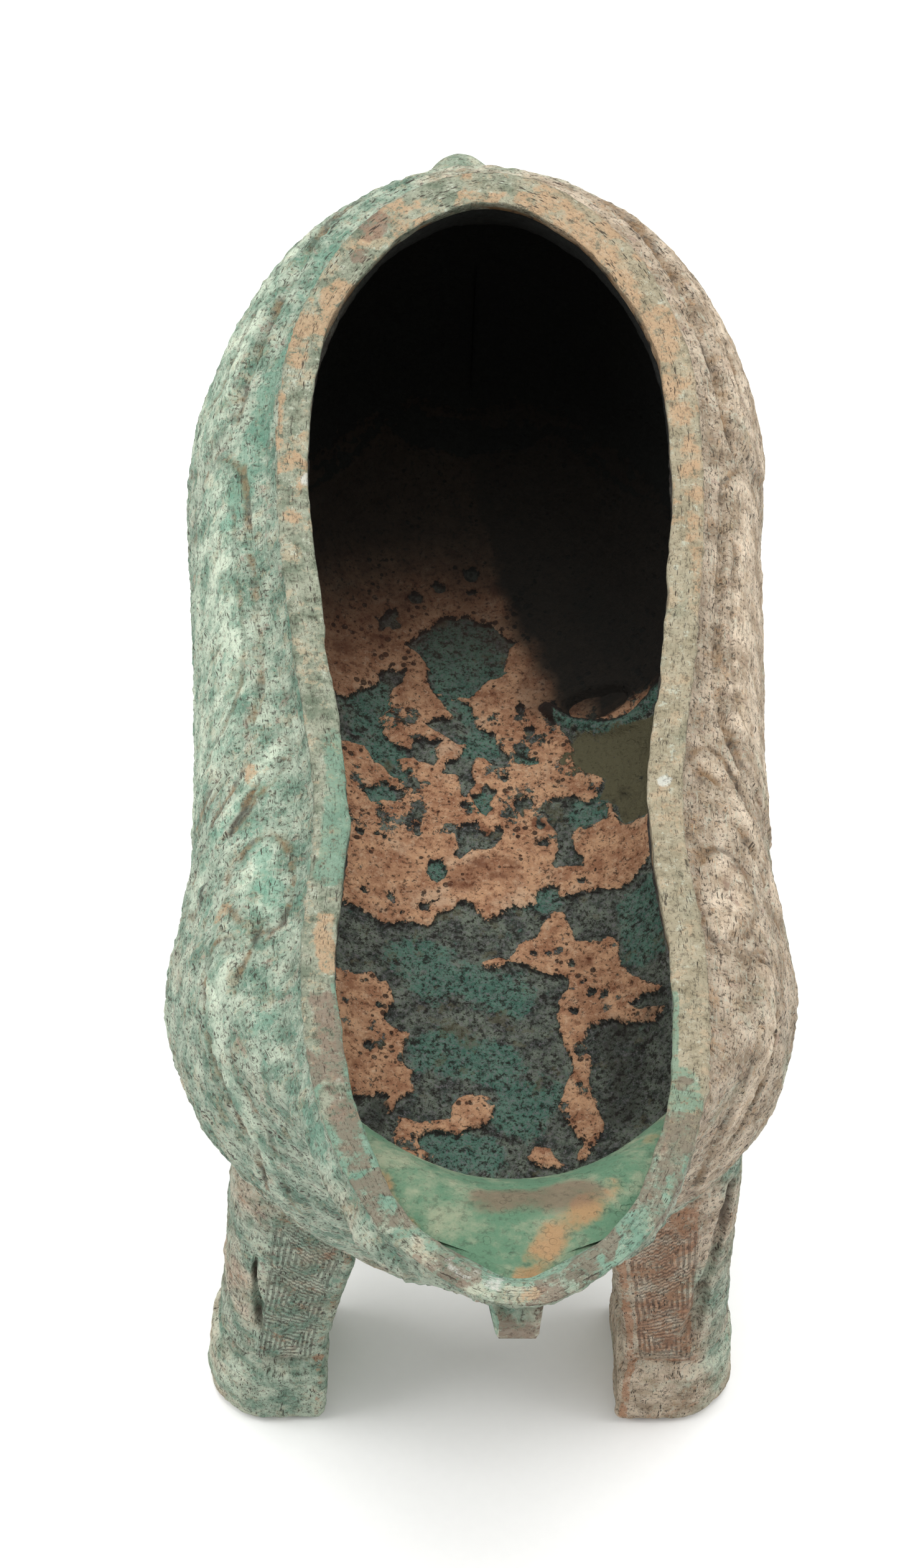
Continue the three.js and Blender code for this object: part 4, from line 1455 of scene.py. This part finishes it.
class Crust:
    """Where the terracotta crust lies on the floor inside: outlines in plan, in millimetres."""

    SHEET: Path = (
        (-52, -9), (-54, 40), (-44, 84), (-20, 110), (20, 110), (44, 84), (52, 50), (40, 42),
        (34, 40),
        (29, 40), (22.5, 43), (18.5, 46.5), (19.5, 41.5), (21.5, 37.5), (22.5, 31.5), (24.5, 27.5),
        (28.5, 25), (32, 23), (37, 18), (40, 8), (36, -2), (33.5, -4), (31.5, -5.5),
        (29.5, -5), (25, -4),
        (21, -4.5), (18, -5), (18, -2.5), (16, -1.5), (13.5, -2), (13, -6), (10.5, -6.5), (8, -6.5),
        (7, -7.5), (5, -9), (3.5, -10), (1.5, -10), (0.5, -7.5), (-0.5, -6.5), (-3, -5.5),
        (-5, -7.5),
        (-8.5, -9.5), (-9.5, -11), (-11, -11.5), (-14, -11), (-16, -11.5), (-19, -12), (-21, -12),
        (-21.5, -11), (-23.5, -9.5), (-30, -9),
    )
    PATCHES: tuple[Path, ...] = (
        (
            (-36, -26), (-26, -26.5), (-23, -25.5), (-21.5, -26), (-20.5, -27), (-18.5, -27),
            (-18, -29),
            (-17.5, -31.5), (-18.5, -33), (-19.5, -36), (-18.5, -37), (-16.5, -38), (-14.5, -38.5),
            (-14.5, -40.5), (-15.5, -42), (-15.5, -46.5), (-14, -48), (-14, -51), (-13, -52.5),
            (-15, -54), (-17, -55.5), (-17.5, -57.5), (-19, -59), (-19.5, -57), (-19, -55),
            (-20.5, -54.5), (-22, -55), (-26, -56), (-34, -50),
        ),
        (
            (-16.5, -59.5), (-12.5, -61), (-9, -60), (-6.5, -59.5), (-6, -57), (-4, -54.5),
            (-1, -53.5),
            (2, -54), (3, -56.5), (2.5, -59), (1, -60.5), (-1.5, -61.5), (-4.5, -63), (-7, -63),
            (-9, -62.5), (-11.5, -63), (-13, -65.5), (-12.5, -67.5), (-10, -68), (-12, -71),
            (-17, -70),
            (-17.5, -67), (-17, -62.5),
        ),
        (
            (1.5, -21), (4, -20), (7, -20), (9, -16.5), (12.5, -15), (15, -10), (16.5, -8.5),
            (18.5, -9), (19.5, -13), (20.5, -16.5), (24, -17.5), (27.5, -17), (29.5, -19),
            (30, -24.5),
            (32, -28.5), (38, -35.5), (36.5, -35.5), (33.5, -33.5), (30.5, -35), (38, -40),
            (36, -42),
            (27.5, -37.5), (24.5, -38), (22, -38.5), (21.5, -42.5), (23, -47.5), (22, -51.5),
            (23.5, -56.5), (25, -62.5), (23, -67), (21, -70.5), (19, -70.5), (20.5, -67.5),
            (19.5, -64), (17.5, -60), (16, -56), (17, -52.5), (19.5, -48.5), (18.5, -44),
            (16.5, -38),
            (16, -35), (17.5, -30.5), (19, -27.5), (19, -25), (16, -25), (12.5, -23), (10, -21),
            (7, -21), (4, -22.5), (1, -22.5),
        ),
        ((9.5, -68.5), (11, -66.5), (13.5, -66.5), (14.5, -69), (17, -72), (14.5, -71.5),
        (12, -71)),
    )
    HOLES: tuple[Path, ...] = (
        (
            (-44, 46), (-27, 48), (-24, 51), (-20, 53.5), (-20.5, 55.5), (-18, 58), (-14.5, 58),
            (-15, 54.5), (-17.5, 52), (-18, 48.5), (-17.5, 46), (-20, 43.5), (-19.5, 38.5),
            (-16.5, 36), (-13.5, 35), (-13, 38), (-10.5, 39), (-9, 38), (-7, 37.5), (-8, 36),
            (-7.5, 32.5), (-8.5, 30.5), (-11.5, 31.5), (-13, 33), (-16, 32), (-14.5, 28.5),
            (-13.5, 28), (-15, 27), (-18, 27), (-19.5, 29.5), (-22, 31), (-24, 34.5), (-40, 34),
        ),
        (
            (-14.5, 65), (-11.5, 68), (-7.5, 71), (-5.5, 74), (-2.5, 73), (-1, 74), (1.5, 72.5),
            (6, 70.5), (8.5, 67.5), (11, 66), (9, 64.5), (8.5, 61), (8, 57.5), (6, 55.5),
            (3.5, 54.5),
            (1.5, 52), (-0.5, 50), (-5, 50), (-8, 51), (-9.5, 55), (-9.5, 58), (-11, 62),
        ),
        (
            (-7.5, 50.5), (-2.5, 49.5), (0, 48), (1, 42.5), (3, 41.5), (5.5, 39.5), (6, 36.5),
            (7.5, 35),
            (8, 31), (4.5, 31), (2.5, 33), (0.5, 33.5), (-0.5, 30), (0.5, 26), (-1.5, 22),
            (-3, 24.5), (-3.5, 28), (-6, 29), (-5.5, 32), (-2.5, 33.5), (-1.5, 37), (-3.5, 37),
            (-6.5, 39), (-9.5, 41), (-10.5, 43), (-7, 44), (-4, 44.5), (-6, 47.5),
        ),
        (
            (9, 34), (9.5, 35), (11, 34), (13, 33.5), (15, 33), (15, 31.5), (12.5, 31),
            (10.5, 31.5),
            (9, 32.5),
        ),
        ((10, 47.5), (11, 48.5), (12, 47), (11.5, 45), (10.5, 45.5)),
        (
            (-0.5, 23), (1.5, 23), (2.5, 26), (4, 24.5), (5, 24), (5, 22.5), (3.5, 21), (4, 19),
            (2.5, 17), (1.5, 17.5), (0.5, 20),
        ),
        ((8.5, 20.5), (10, 22), (12, 23), (13.5, 20.5), (13, 19), (11, 19), (10.5, 17),
        (9.5, 18.5)),
        (
            (-25, 22), (-23, 24), (-22, 23), (-20, 26), (-18, 24.5), (-15.5, 24.5), (-14.5, 23.5),
            (-15, 22), (-16.5, 20.5), (-19.5, 20.5), (-22.5, 19), (-23.5, 21),
        ),
        ((-10, 3), (-9, 5), (-7.5, 5.5), (-6, 3.5), (-6.5, 1), (-8, -0.5), (-9.5, 0.5)),
        (
            (-4, 11.5), (-2, 15.5), (0.5, 16), (1, 14), (3, 12), (5.5, 14), (6.5, 13), (4.5, 9),
            (2.5, 8), (-1, 8.5), (-3, 5.5), (-4.5, 6.5), (-3.5, 9.5),
        ),
        (
            (15.5, 19.5), (17, 21.5), (20, 22), (22, 22), (24, 19.5), (26.5, 20), (29.5, 17),
            (29, 14), (26.5, 13), (23, 13.5), (21.5, 11.5), (21.5, 8), (23.5, 3), (20, 3.5),
            (17.5, 3.5), (16, 4.5), (17.5, 7.5), (17.5, 12.5), (16, 16),
        ),
        ((-12, -6.5), (-9.5, -5.5), (-7.5, -5.5), (-9.5, -6.5), (-10, -8), (-11.5, -8)),
    )
    DOTS: tuple[tuple[float, float, float], ...] = (
        (-24, -4.5, 1.1), (-18, -5, 1.1), (-12, 14.5, 0.8), (-12, 12.5, 0.8), (-21, 11, 0.6),
        (14.5, 9.5, 1.1),
        (-19.5, 10.5, 0.5), (7, 27.5, 1.0), (22.5, -1, 1.2), (-15.5, -9, 0.7), (14.5, 15, 1.0),
        (-20, 17.5, 0.7), (-2.5, 20, 0.8), (1, 85, 1.6), (-7, 81, 1.4), (1, 80.5, 1.0),
        (-18, 71, 2.6),
        (-12, 78, 1.6), (-24.5, 11, 0.9), (12.5, 40.5, 1.2), (20, -22, 0.7), (22, -27, 0.8),
        (24, -30, 0.9),
        (-21, -33, 0.9), (-23, -43, 1.0), (12, -19, 0.6), (20, -34, 0.9), (21, -44, 0.9),
        (26, -31, 0.9),
    )
    TAN: Path = (
        (23.4, 39.1), (21.4, 31.8), (24.5, 28), (28.2, 25.1), (26.3, 19.7), (29.7, 17.4),
        (31.2, 10.8),
        (46, 9), (46, 38), (38, 37), (28, 38),
    )
    LEDGE: Path = (
        (17, 46.5), (19.5, 44), (22.5, 42), (27.5, 39.5), (30.5, 38.5), (35, 38), (39.5, 40.5),
        (44, 46),
    )

    @classmethod
    def at(cls, points: Array) -> Array:
        """How far points lie inside the crust's edge, in millimetres; negative outside."""
        plan = points[:, :2].copy()
        still = points * [1, 1, 0]
        for axis, seed in enumerate((Seed.CRUST_ACROSS, Seed.CRUST_ALONG)):
            plan[:, axis] += 2.0 * uneven(seed, still, 3.0)
        inside = cls.reach(plan, cls.SHEET)
        for outline in cls.PATCHES:
            inside = np.maximum(inside, cls.reach(plan, outline))
        for outline in (*cls.HOLES, cls.TAN):
            inside = np.minimum(inside, -cls.reach(plan, outline))
        ragged = 0.4 + 1.2 * Grain(Seed.CRUST_HOLES).at(still, 1.5)
        for x, y, radius in cls.DOTS:
            inside = np.minimum(inside, np.hypot(plan[:, 0] - x, plan[:, 1] - y) - radius * ragged)
        wall = 106 - points[:, 2] + 40 * uneven(Seed.CRUST_WALL, still, 14.0)
        front = points[:, 1] + 80
        return np.min([inside, wall, front], axis=0)

    @staticmethod
    def reach(plan: Array, outline: Path) -> Array:
        """How far places lie inside an outline; negative outside."""
        line = np.array((*outline, outline[0]), float)
        gap = distance_to_line(plan, line, 5.0)
        return np.where(within(plan, line), gap, -gap)


@dataclass
class Leg:
    """One hoofed leg, with its hoof band, its ornament and its soft outer corner."""

    side: Side
    inner: float
    outer: float
    front: float
    back: float
    form: VesselForm
    top: float = 78.0
    sunk: float = 2.2
    lean: float = 6.0
    inner_corner: float = 1.5
    outer_corner: float = 12.5
    columns: int = 300
    rows: int = 240
    levels: tuple[tuple[float, float], ...] = (
        (0, 2.2), (0.8, 0.7), (2.4, 0), (18.5, 0.3), (19.4, 0.5), (20.4, 1.3), (34, 1.6), (52, 1.1),
        (68, 0.2), (88, 1.5),
    )

    def outline(self, z: float, inset: float) -> Array:
        """The leg's closed outline at a height."""
        shift = self.lean * float(smooth(0, 88.0, np.array(z)))
        x0, x1 = self.inner - shift + inset, self.outer - shift - inset
        y0, y1 = self.front + inset, self.back - inset
        round_corner = max(self.outer_corner - inset, self.inner_corner)
        corners = (
            (x0, y0, self.inner_corner, 1, 1, math.pi),
            (x1, y0, round_corner, -1, 1, 1.5 * math.pi),
            (x1, y1, round_corner, -1, -1, 0.0), (x0, y1, self.inner_corner, 1, -1, 0.5 * math.pi),
        )
        angles = np.linspace(0, math.pi / 2, 9)
        arcs = [
            np.stack([x + r * (a + np.cos(t + angles)), y + r * (b + np.sin(t + angles))], axis=1)
            for x, y, r, a, b, t in corners
        ]
        ring = np.concatenate(arcs)
        return np.concatenate([ring, ring[:1]])

    def build(self, name: str, material: bpy.types.Material) -> bpy.types.Object:
        """Makes the leg.

        Args:
            name: The piece's name.
            material: Its finish.

        Returns:
            The leg.
        """
        sheet = Sheet(self.columns, self.rows)
        heights = np.linspace(0, 1, self.rows + 1) * self.top
        row = sheet.row
        levels = np.array(self.levels)
        column = np.rint(sheet.across * self.columns).astype(int)
        points = np.zeros((len(row), 3))
        for index, z in enumerate(heights):
            ring = self.outline(z, float(np.interp(z, levels[:, 0], levels[:, 1])))
            steps = np.linalg.norm(np.diff(ring, axis=0), axis=1)
            length = np.concatenate([[0], np.cumsum(steps)])
            picks = row == index
            arc = sheet.across[picks] * length[-1]
            points[picks, 0] = np.interp(arc, length, ring[:, 0])
            points[picks, 1] = np.interp(arc, length, ring[:, 1])
            points[picks, 2] = z
        crown = np.zeros((self.columns + 1, 2))
        last = row == self.rows
        crown[column[last]] = points[last, :2]
        reach = self.form.underside_z(crown[:, 0], crown[:, 1]) + self.sunk
        points[:, 2] *= (reach / self.top)[column] ** smooth(20.4, 50, points[:, 2])
        centre = np.array([(self.inner + self.outer) / 2, (self.front + self.back) / 2, 0])
        out = unit((points - centre) * [1, 1, 0])
        arc, z = sheet.across * 93.4, points[:, 2]
        mirrored = points * [self.side.value, 1, 1]
        worn = uneven(Seed.LEG_WEAR, mirrored, 6.0)
        wander = 3.0 * uneven(Seed.LEG_WANDER, mirrored, 8.0, 3)
        right = self.side is Side.RIGHT
        width, low, high = (2.4, 36, 92) if right else (1.3, 38, 66)
        width = width * (0.5 + Grain(Seed.LEG_FURROW).at(mirrored, 7.0))
        slant = 16.4 + 0.172 * (z - 38) + wander
        furrow = smooth(width, 0.3 * width, np.abs(arc - slant))
        furrow *= between(low - 4, low + 2, high - 8, high, z)
        furrow_back = smooth(1.5, 0.4, np.abs(arc - 41.0 - wander)) * between(24, 30, 76, 84, z)
        border = smooth(0.9, 0.3, np.abs(z - 24.5)) * between(1.0, 3.0, 64, 66.5, arc)
        cut = np.maximum(furrow, furrow_back)
        lift = 1.2 * worn + 0.6 * uneven(Seed.LEG_FINE, mirrored, 1.8, 2)
        lift -= 1.9 * cut + 0.4 * border
        lift *= smooth(0, 1.5, z)
        points += out * lift[:, None]
        sheet.bend(points * [self.side.value, 1, 1])
        face = between(3.2, 4.4, 16.2, 17.4, arc)
        flank = 0.45 * between(21, 23, 64, 66, arc)
        ornament = between(25, 26.5, 76, 82, z) * (face + flank) * (1 - cut)
        column_side = between(13, 26, 58, 68, arc)
        warm = blend(0.72, 0.36, column_side) if right else 0.12 + 0.25 * column_side
        plain = smooth(23, 20, z)
        sheet.paint("zones", np.maximum(cut, 0.35 * border), warm, 0.8 * plain, ornament)
        none = np.zeros(len(row))
        rust = 0.5 * smooth(1.6, 0.6, np.abs(arc - 2.4)) * (z > 3)
        rust += 0.45 * smooth(1.6, 0.5, np.abs(z - 25))
        rust = np.maximum(rust, 0.47 * face * smooth(24, 30, z)) * (1.0 if right else 0.72)
        brown = (0.34 if right else 0.26) * smooth(24, 27, z) * face
        sheet.paint("stains", none + (0.1 if right else 0.26), rust, brown, none)
        sheet.close(seam=True)
        return sheet.finish(name, material)


@dataclass
class Flange:
    """The notched flange on the middle line, under the lip and down the breast."""

    form: VesselForm
    width: float = 7.0
    depth: float = 7.5
    setback: float = 0.4
    start: float = 0.05
    end: float = 0.66
    notches: int = 4
    notch_depth: float = 3.2
    sunk: float = 3.0

    def build(self, material: bpy.types.Material) -> bpy.types.Object:
        """Cuts the flange's profile, gives it its width and eases its edges."""
        steps = self.notches * 12
        share = np.linspace(0, 1, steps + 1)
        down = blend(self.start, self.end, share)
        lip = np.zeros(steps + 1)
        point, normal = self.form.skin(lip, down), self.form.normal(lip, down)
        notched = np.where(np.arange(steps + 1) % 12 >= 8, self.notch_depth, 0.0)
        depth = (self.depth - notched) * smooth(1, 0.8, share)
        edge = point + normal * depth[:, None]
        edge[:, 1] = np.maximum(edge[:, 1], self.form.front + self.setback)
        root = point - normal * self.sunk
        profile = np.concatenate([edge, root[::-1]])
        mesh = bmesh.new()
        corners = [mesh.verts.new((-self.width / 2 * MM, p[1] * MM, p[2] * MM)) for p in profile]
        side = mesh.faces.new(corners)
        drawn = bmesh.ops.extrude_face_region(mesh, geom=[side])
        far = [item for item in drawn["geom"] if isinstance(item, bmesh.types.BMVert)]
        bmesh.ops.translate(mesh, verts=far, vec=(self.width * MM, 0, 0))
        roots = {(round(p[1] * MM, 6), round(p[2] * MM, 6)) for p in root}
        for vert in mesh.verts:
            if (round(vert.co.y, 6), round(vert.co.z, 6)) in roots:
                vert.co.x += (-2.2 if vert.co.x < 0 else 0.8) * MM
        bmesh.ops.recalc_face_normals(mesh, faces=mesh.faces[:])
        level = [e for e in mesh.edges if len({v.co.x < 0 for v in e.verts}) == 1]
        rims = [e for e in level if e.calc_length() < 20 * MM]
        bmesh.ops.bevel(
            mesh, geom=rims, offset=0.5 * MM, segments=2, profile=0.5, affect="EDGES", material=-1
        )
        zones = mesh.verts.layers.float_color.new("zones")
        stains = mesh.verts.layers.float_color.new("stains")
        for vert in mesh.verts:
            vert[zones] = (0.1, 0.4, 0.4, 0)
            left = vert.co.x < -0.0033
            vert[stains] = (0.6 if left else 0.0, 0.0, 0.0 if left else 0.5, 0)
        return finished(mesh, "flange", material)


@dataclass
class Handle:
    """The loop handle behind, with a rounded head on its shoulder."""

    form: VesselForm
    x: float = -3.0
    top: float = 122.0
    low: float = 80.0
    reach: float = 20.8
    wide: float = 15.5
    narrow: float = 12.0
    thick: float = 9.5
    sunk: float = 7.0
    kept: tuple[float, float] = (0.05, 0.95)
    head: tuple[float, float, float] = (8.9, 10.8, 7.7)
    head_at: float = 0.26
    line: Path = ((0.22, 1.013), (0.8, 1.002), (1, 0.62), (0.84, 0.2))

    def rear(self, z: float) -> float:
        """How far back the rear wall reaches at a height."""
        down = np.linspace(0, 1, 240)
        wall = self.form.skin(np.full(240, 0.5), down)
        return float(wall[np.argmin(np.abs(wall[:, 2] - z)), 1])

    def path(self) -> Array:
        """The handle's middle line."""
        upper, lower = self.rear(self.top), self.rear(self.low)
        points = [(upper - self.sunk, self.top - 2)]
        points += [(upper + self.reach * b, blend(self.low, self.top, u)) for b, u in self.line]
        points += [(lower + 6, self.low - 3), (lower - self.sunk, self.low + 1)]
        return traced(tuple(points), 24)

    def build(self, material: bpy.types.Material) -> list[bpy.types.Object]:
        """Makes the loop and the head."""
        line = self.path()
        steps = np.linalg.norm(np.diff(line, axis=0), axis=1)
        length = np.concatenate([[0], np.cumsum(steps)]) / steps.sum()
        sheet = Sheet(64, 150)
        along = blend(*self.kept, sheet.up)

        def spot(share: Array) -> Array:
            """The middle line at shares of its length."""
            return np.stack([np.interp(share, length, line[:, k]) for k in (0, 1)], axis=-1)

        centre = spot(along)
        run = unit(spot(np.minimum(along + 0.01, 1)) - spot(np.maximum(along - 0.01, 0)))
        angle = sheet.across * 2 * math.pi
        half = blend(self.wide, self.narrow, smooth(0.1, 0.55, along)) / 2

        def squared(value: Array) -> Array:
            """A circle's part, made squarer."""
            return np.sign(value) * np.abs(value) ** 0.75

        wide, tall = half * squared(np.cos(angle)), self.thick / 2 * squared(np.sin(angle))
        level, rise = centre[:, 0] - run[:, 1] * tall, centre[:, 1] + run[:, 0] * tall
        points = np.stack([self.x + wide, level, rise], axis=1)
        ribs = smooth(0.75, 0.35, np.abs(np.abs(wide) - half * 0.55))
        ribs *= np.abs(np.sin(angle)) > 0.5
        middle = np.stack([np.full(len(along), self.x), centre[:, 0], centre[:, 1]], axis=1)
        out = unit(points - middle)
        lift = 0.8 * uneven(Seed.HANDLE, points, 4.5) - 0.5 * ribs * ~sheet.sides()
        sheet.bend(points + out * lift[:, None])
        none = np.zeros(len(along))
        sheet.paint("zones", 0.7 * ribs, none + 0.35, none + 0.3, none)
        sheet.paint("stains", none + 0.1, none + 0.2, none, none)
        sheet.close(seam=True)
        loop = sheet.finish("handle", material)
        return [loop, self.make_head(Vector((self.x, *spot(self.head_at))), material)]

    def make_head(self, seat: Vector, material: bpy.types.Material) -> bpy.types.Object:
        """The rounded head on the handle's shoulder."""
        mesh = bmesh.new()
        bmesh.ops.create_icosphere(mesh, subdivisions=5, radius=1.0)
        directions = np.array([v.co[:] for v in mesh.verts])
        points = directions * np.array(self.head)
        ears = np.maximum(0, directions @ unit(np.array([0.75, -0.1, 0.6]))) ** 14
        ears += np.maximum(0, directions @ unit(np.array([-0.75, -0.1, 0.6]))) ** 14
        brow = np.maximum(0, directions @ unit(np.array([0.0, 0.6, 0.75]))) ** 8
        grain = uneven(Seed.HEAD, points + np.array(seat), 4.0)
        lift = 1.2 * ears + 0.5 * brow + 0.8 * grain
        points = points + directions * lift[:, None] + np.array(seat)
        for vert, point in zip(mesh.verts, points * MM):
            vert.co = point
        zones = mesh.verts.layers.float_color.new("zones")
        stains = mesh.verts.layers.float_color.new("stains")
        for vert in mesh.verts:
            vert[zones] = (0.0, 0.3, 0.2, 0.5)
            vert[stains] = (0.1, 0.15, 0.0, 0.1)
        return finished(mesh, "handle_head", material)


@dataclass
class Studio:
    """The camera, the pale floor and the soft light."""

    place: tuple[float, float, float] = (-0.032337, -0.429429, 0.648105)
    back: tuple[float, float, float] = (-0.04016, -0.61435, 0.78801)
    roll: float = 3.61
    focal_pixels: float = 5500.0
    picture: tuple[int, int] = (1482, 2520)
    sensor: float = 36.0

    def camera(self) -> None:
        """Stands the camera where the photograph was taken from."""
        back = Vector(self.back).normalized()
        right = (-back).cross(Vector((0, 0, 1))).normalized()
        up = right.cross(-back)
        turn = math.radians(self.roll)
        across = math.cos(turn) * right + math.sin(turn) * up
        above = -math.sin(turn) * right + math.cos(turn) * up
        data = bpy.data.cameras.new("camera")
        data.sensor_width = self.sensor
        data.lens = self.focal_pixels / max(self.picture) * self.sensor
        data.clip_start = 0.01
        camera = bpy.data.objects.new("camera", data)
        bpy.context.scene.collection.objects.link(camera)
        axes = Matrix((across, above, back)).transposed().to_4x4()
        camera.matrix_world = Matrix.Translation(Vector(self.place)) @ axes
        bpy.context.scene.camera = camera

    def floor(self) -> None:
        """Lays the pale floor."""
        mesh = bmesh.new()
        bmesh.ops.create_grid(mesh, x_segments=1, y_segments=1, size=3.0)
        data = bpy.data.meshes.new("floor")
        mesh.to_mesh(data)
        mesh.free()
        material = bpy.data.materials.new("pale_floor")
        material.use_nodes = True
        graph = Graph(material.node_tree)
        surface = material.node_tree.nodes["Principled BSDF"]
        place = graph.node("TexCoord").outputs["Object"]
        tone = graph.mix(graph.noise(place, 400, 3), (0.9, 0.9, 0.89, 1), (0.93, 0.93, 0.92, 1))
        graph.tree.links.new(tone, surface.inputs["Base Color"])
        surface.inputs["Roughness"].default_value = 0.9
        surface.inputs["Specular IOR Level"].default_value = 0.1
        data.materials.append(material)
        floor = bpy.data.objects.new("floor", data)
        bpy.context.scene.collection.objects.link(floor)

    def lamp(self, name: str, place: tuple[float, ...], size: float, watts: float) -> None:
        """Hangs one soft lamp that faces the vessel."""
        data = bpy.data.lights.new(name, "AREA")
        data.shape = "DISK"
        data.size = size
        data.energy = watts
        lamp = bpy.data.objects.new(name, data)
        bpy.context.scene.collection.objects.link(lamp)
        aim = Vector(place) - Vector((0, 0, 0.08))
        lamp.rotation_euler = aim.to_track_quat("Z", "Y").to_euler()
        lamp.location = place

    def light(self) -> None:
        """Lights the studio."""
        world = bpy.data.worlds.new("studio")
        bpy.context.scene.world = world
        world.use_nodes = True
        sky = world.node_tree.nodes["Background"]
        sky.inputs["Color"].default_value = (1.0, 1.0, 1.0, 1.0)
        sky.inputs["Strength"].default_value = 0.63
        bpy.context.scene.view_settings.view_transform = "Standard"
        self.lamp("key", (-0.02, 0.2, 1.4), 1.2, 22.5)
        self.lamp("fill_right", (1.0, -0.1, 0.9), 0.8, 5.0)
        self.lamp("fill_left", (-1.0, -0.1, 0.9), 0.8, 8.0)

    def build(self) -> None:
        """Sets the studio up."""
        self.camera()
        self.floor()
        self.light()


def main() -> None:
    """Builds the studio and every piece of the vessel, and notes the sizes."""
    logging.basicConfig(level=logging.INFO, format="%(message)s")
    Studio().build()
    groups = Groups()
    form = VesselForm()
    patina = PatinaFinish("patina").build(groups)
    leg_finish = PatinaFinish(
        "leg_patina",
        peach=colour(188, 134, 98),
        brown=colour(118, 88, 72),
        ochre=colour(78, 62, 48),
        run=(93.4, 18.0, 0.0),
        spirals=True,
    ).build(groups)
    lining = LiningFinish().build(groups)
    body = Body(form)
    for side in Side:
        body.shell(side, patina)
        body.lining(side, lining)
        name = side.name.lower()
        Leg(side, 30.3, 55.0, -94.0, -66.0, form).build(f"front_leg_{name}", leg_finish)
        Leg(side, 28.5, 53.5, 40.0, 68.0, form).build(f"rear_leg_{name}", leg_finish)
    Flange(form).build(patina)
    Handle(form).build(patina)


if __name__ == "__main__":
    main()
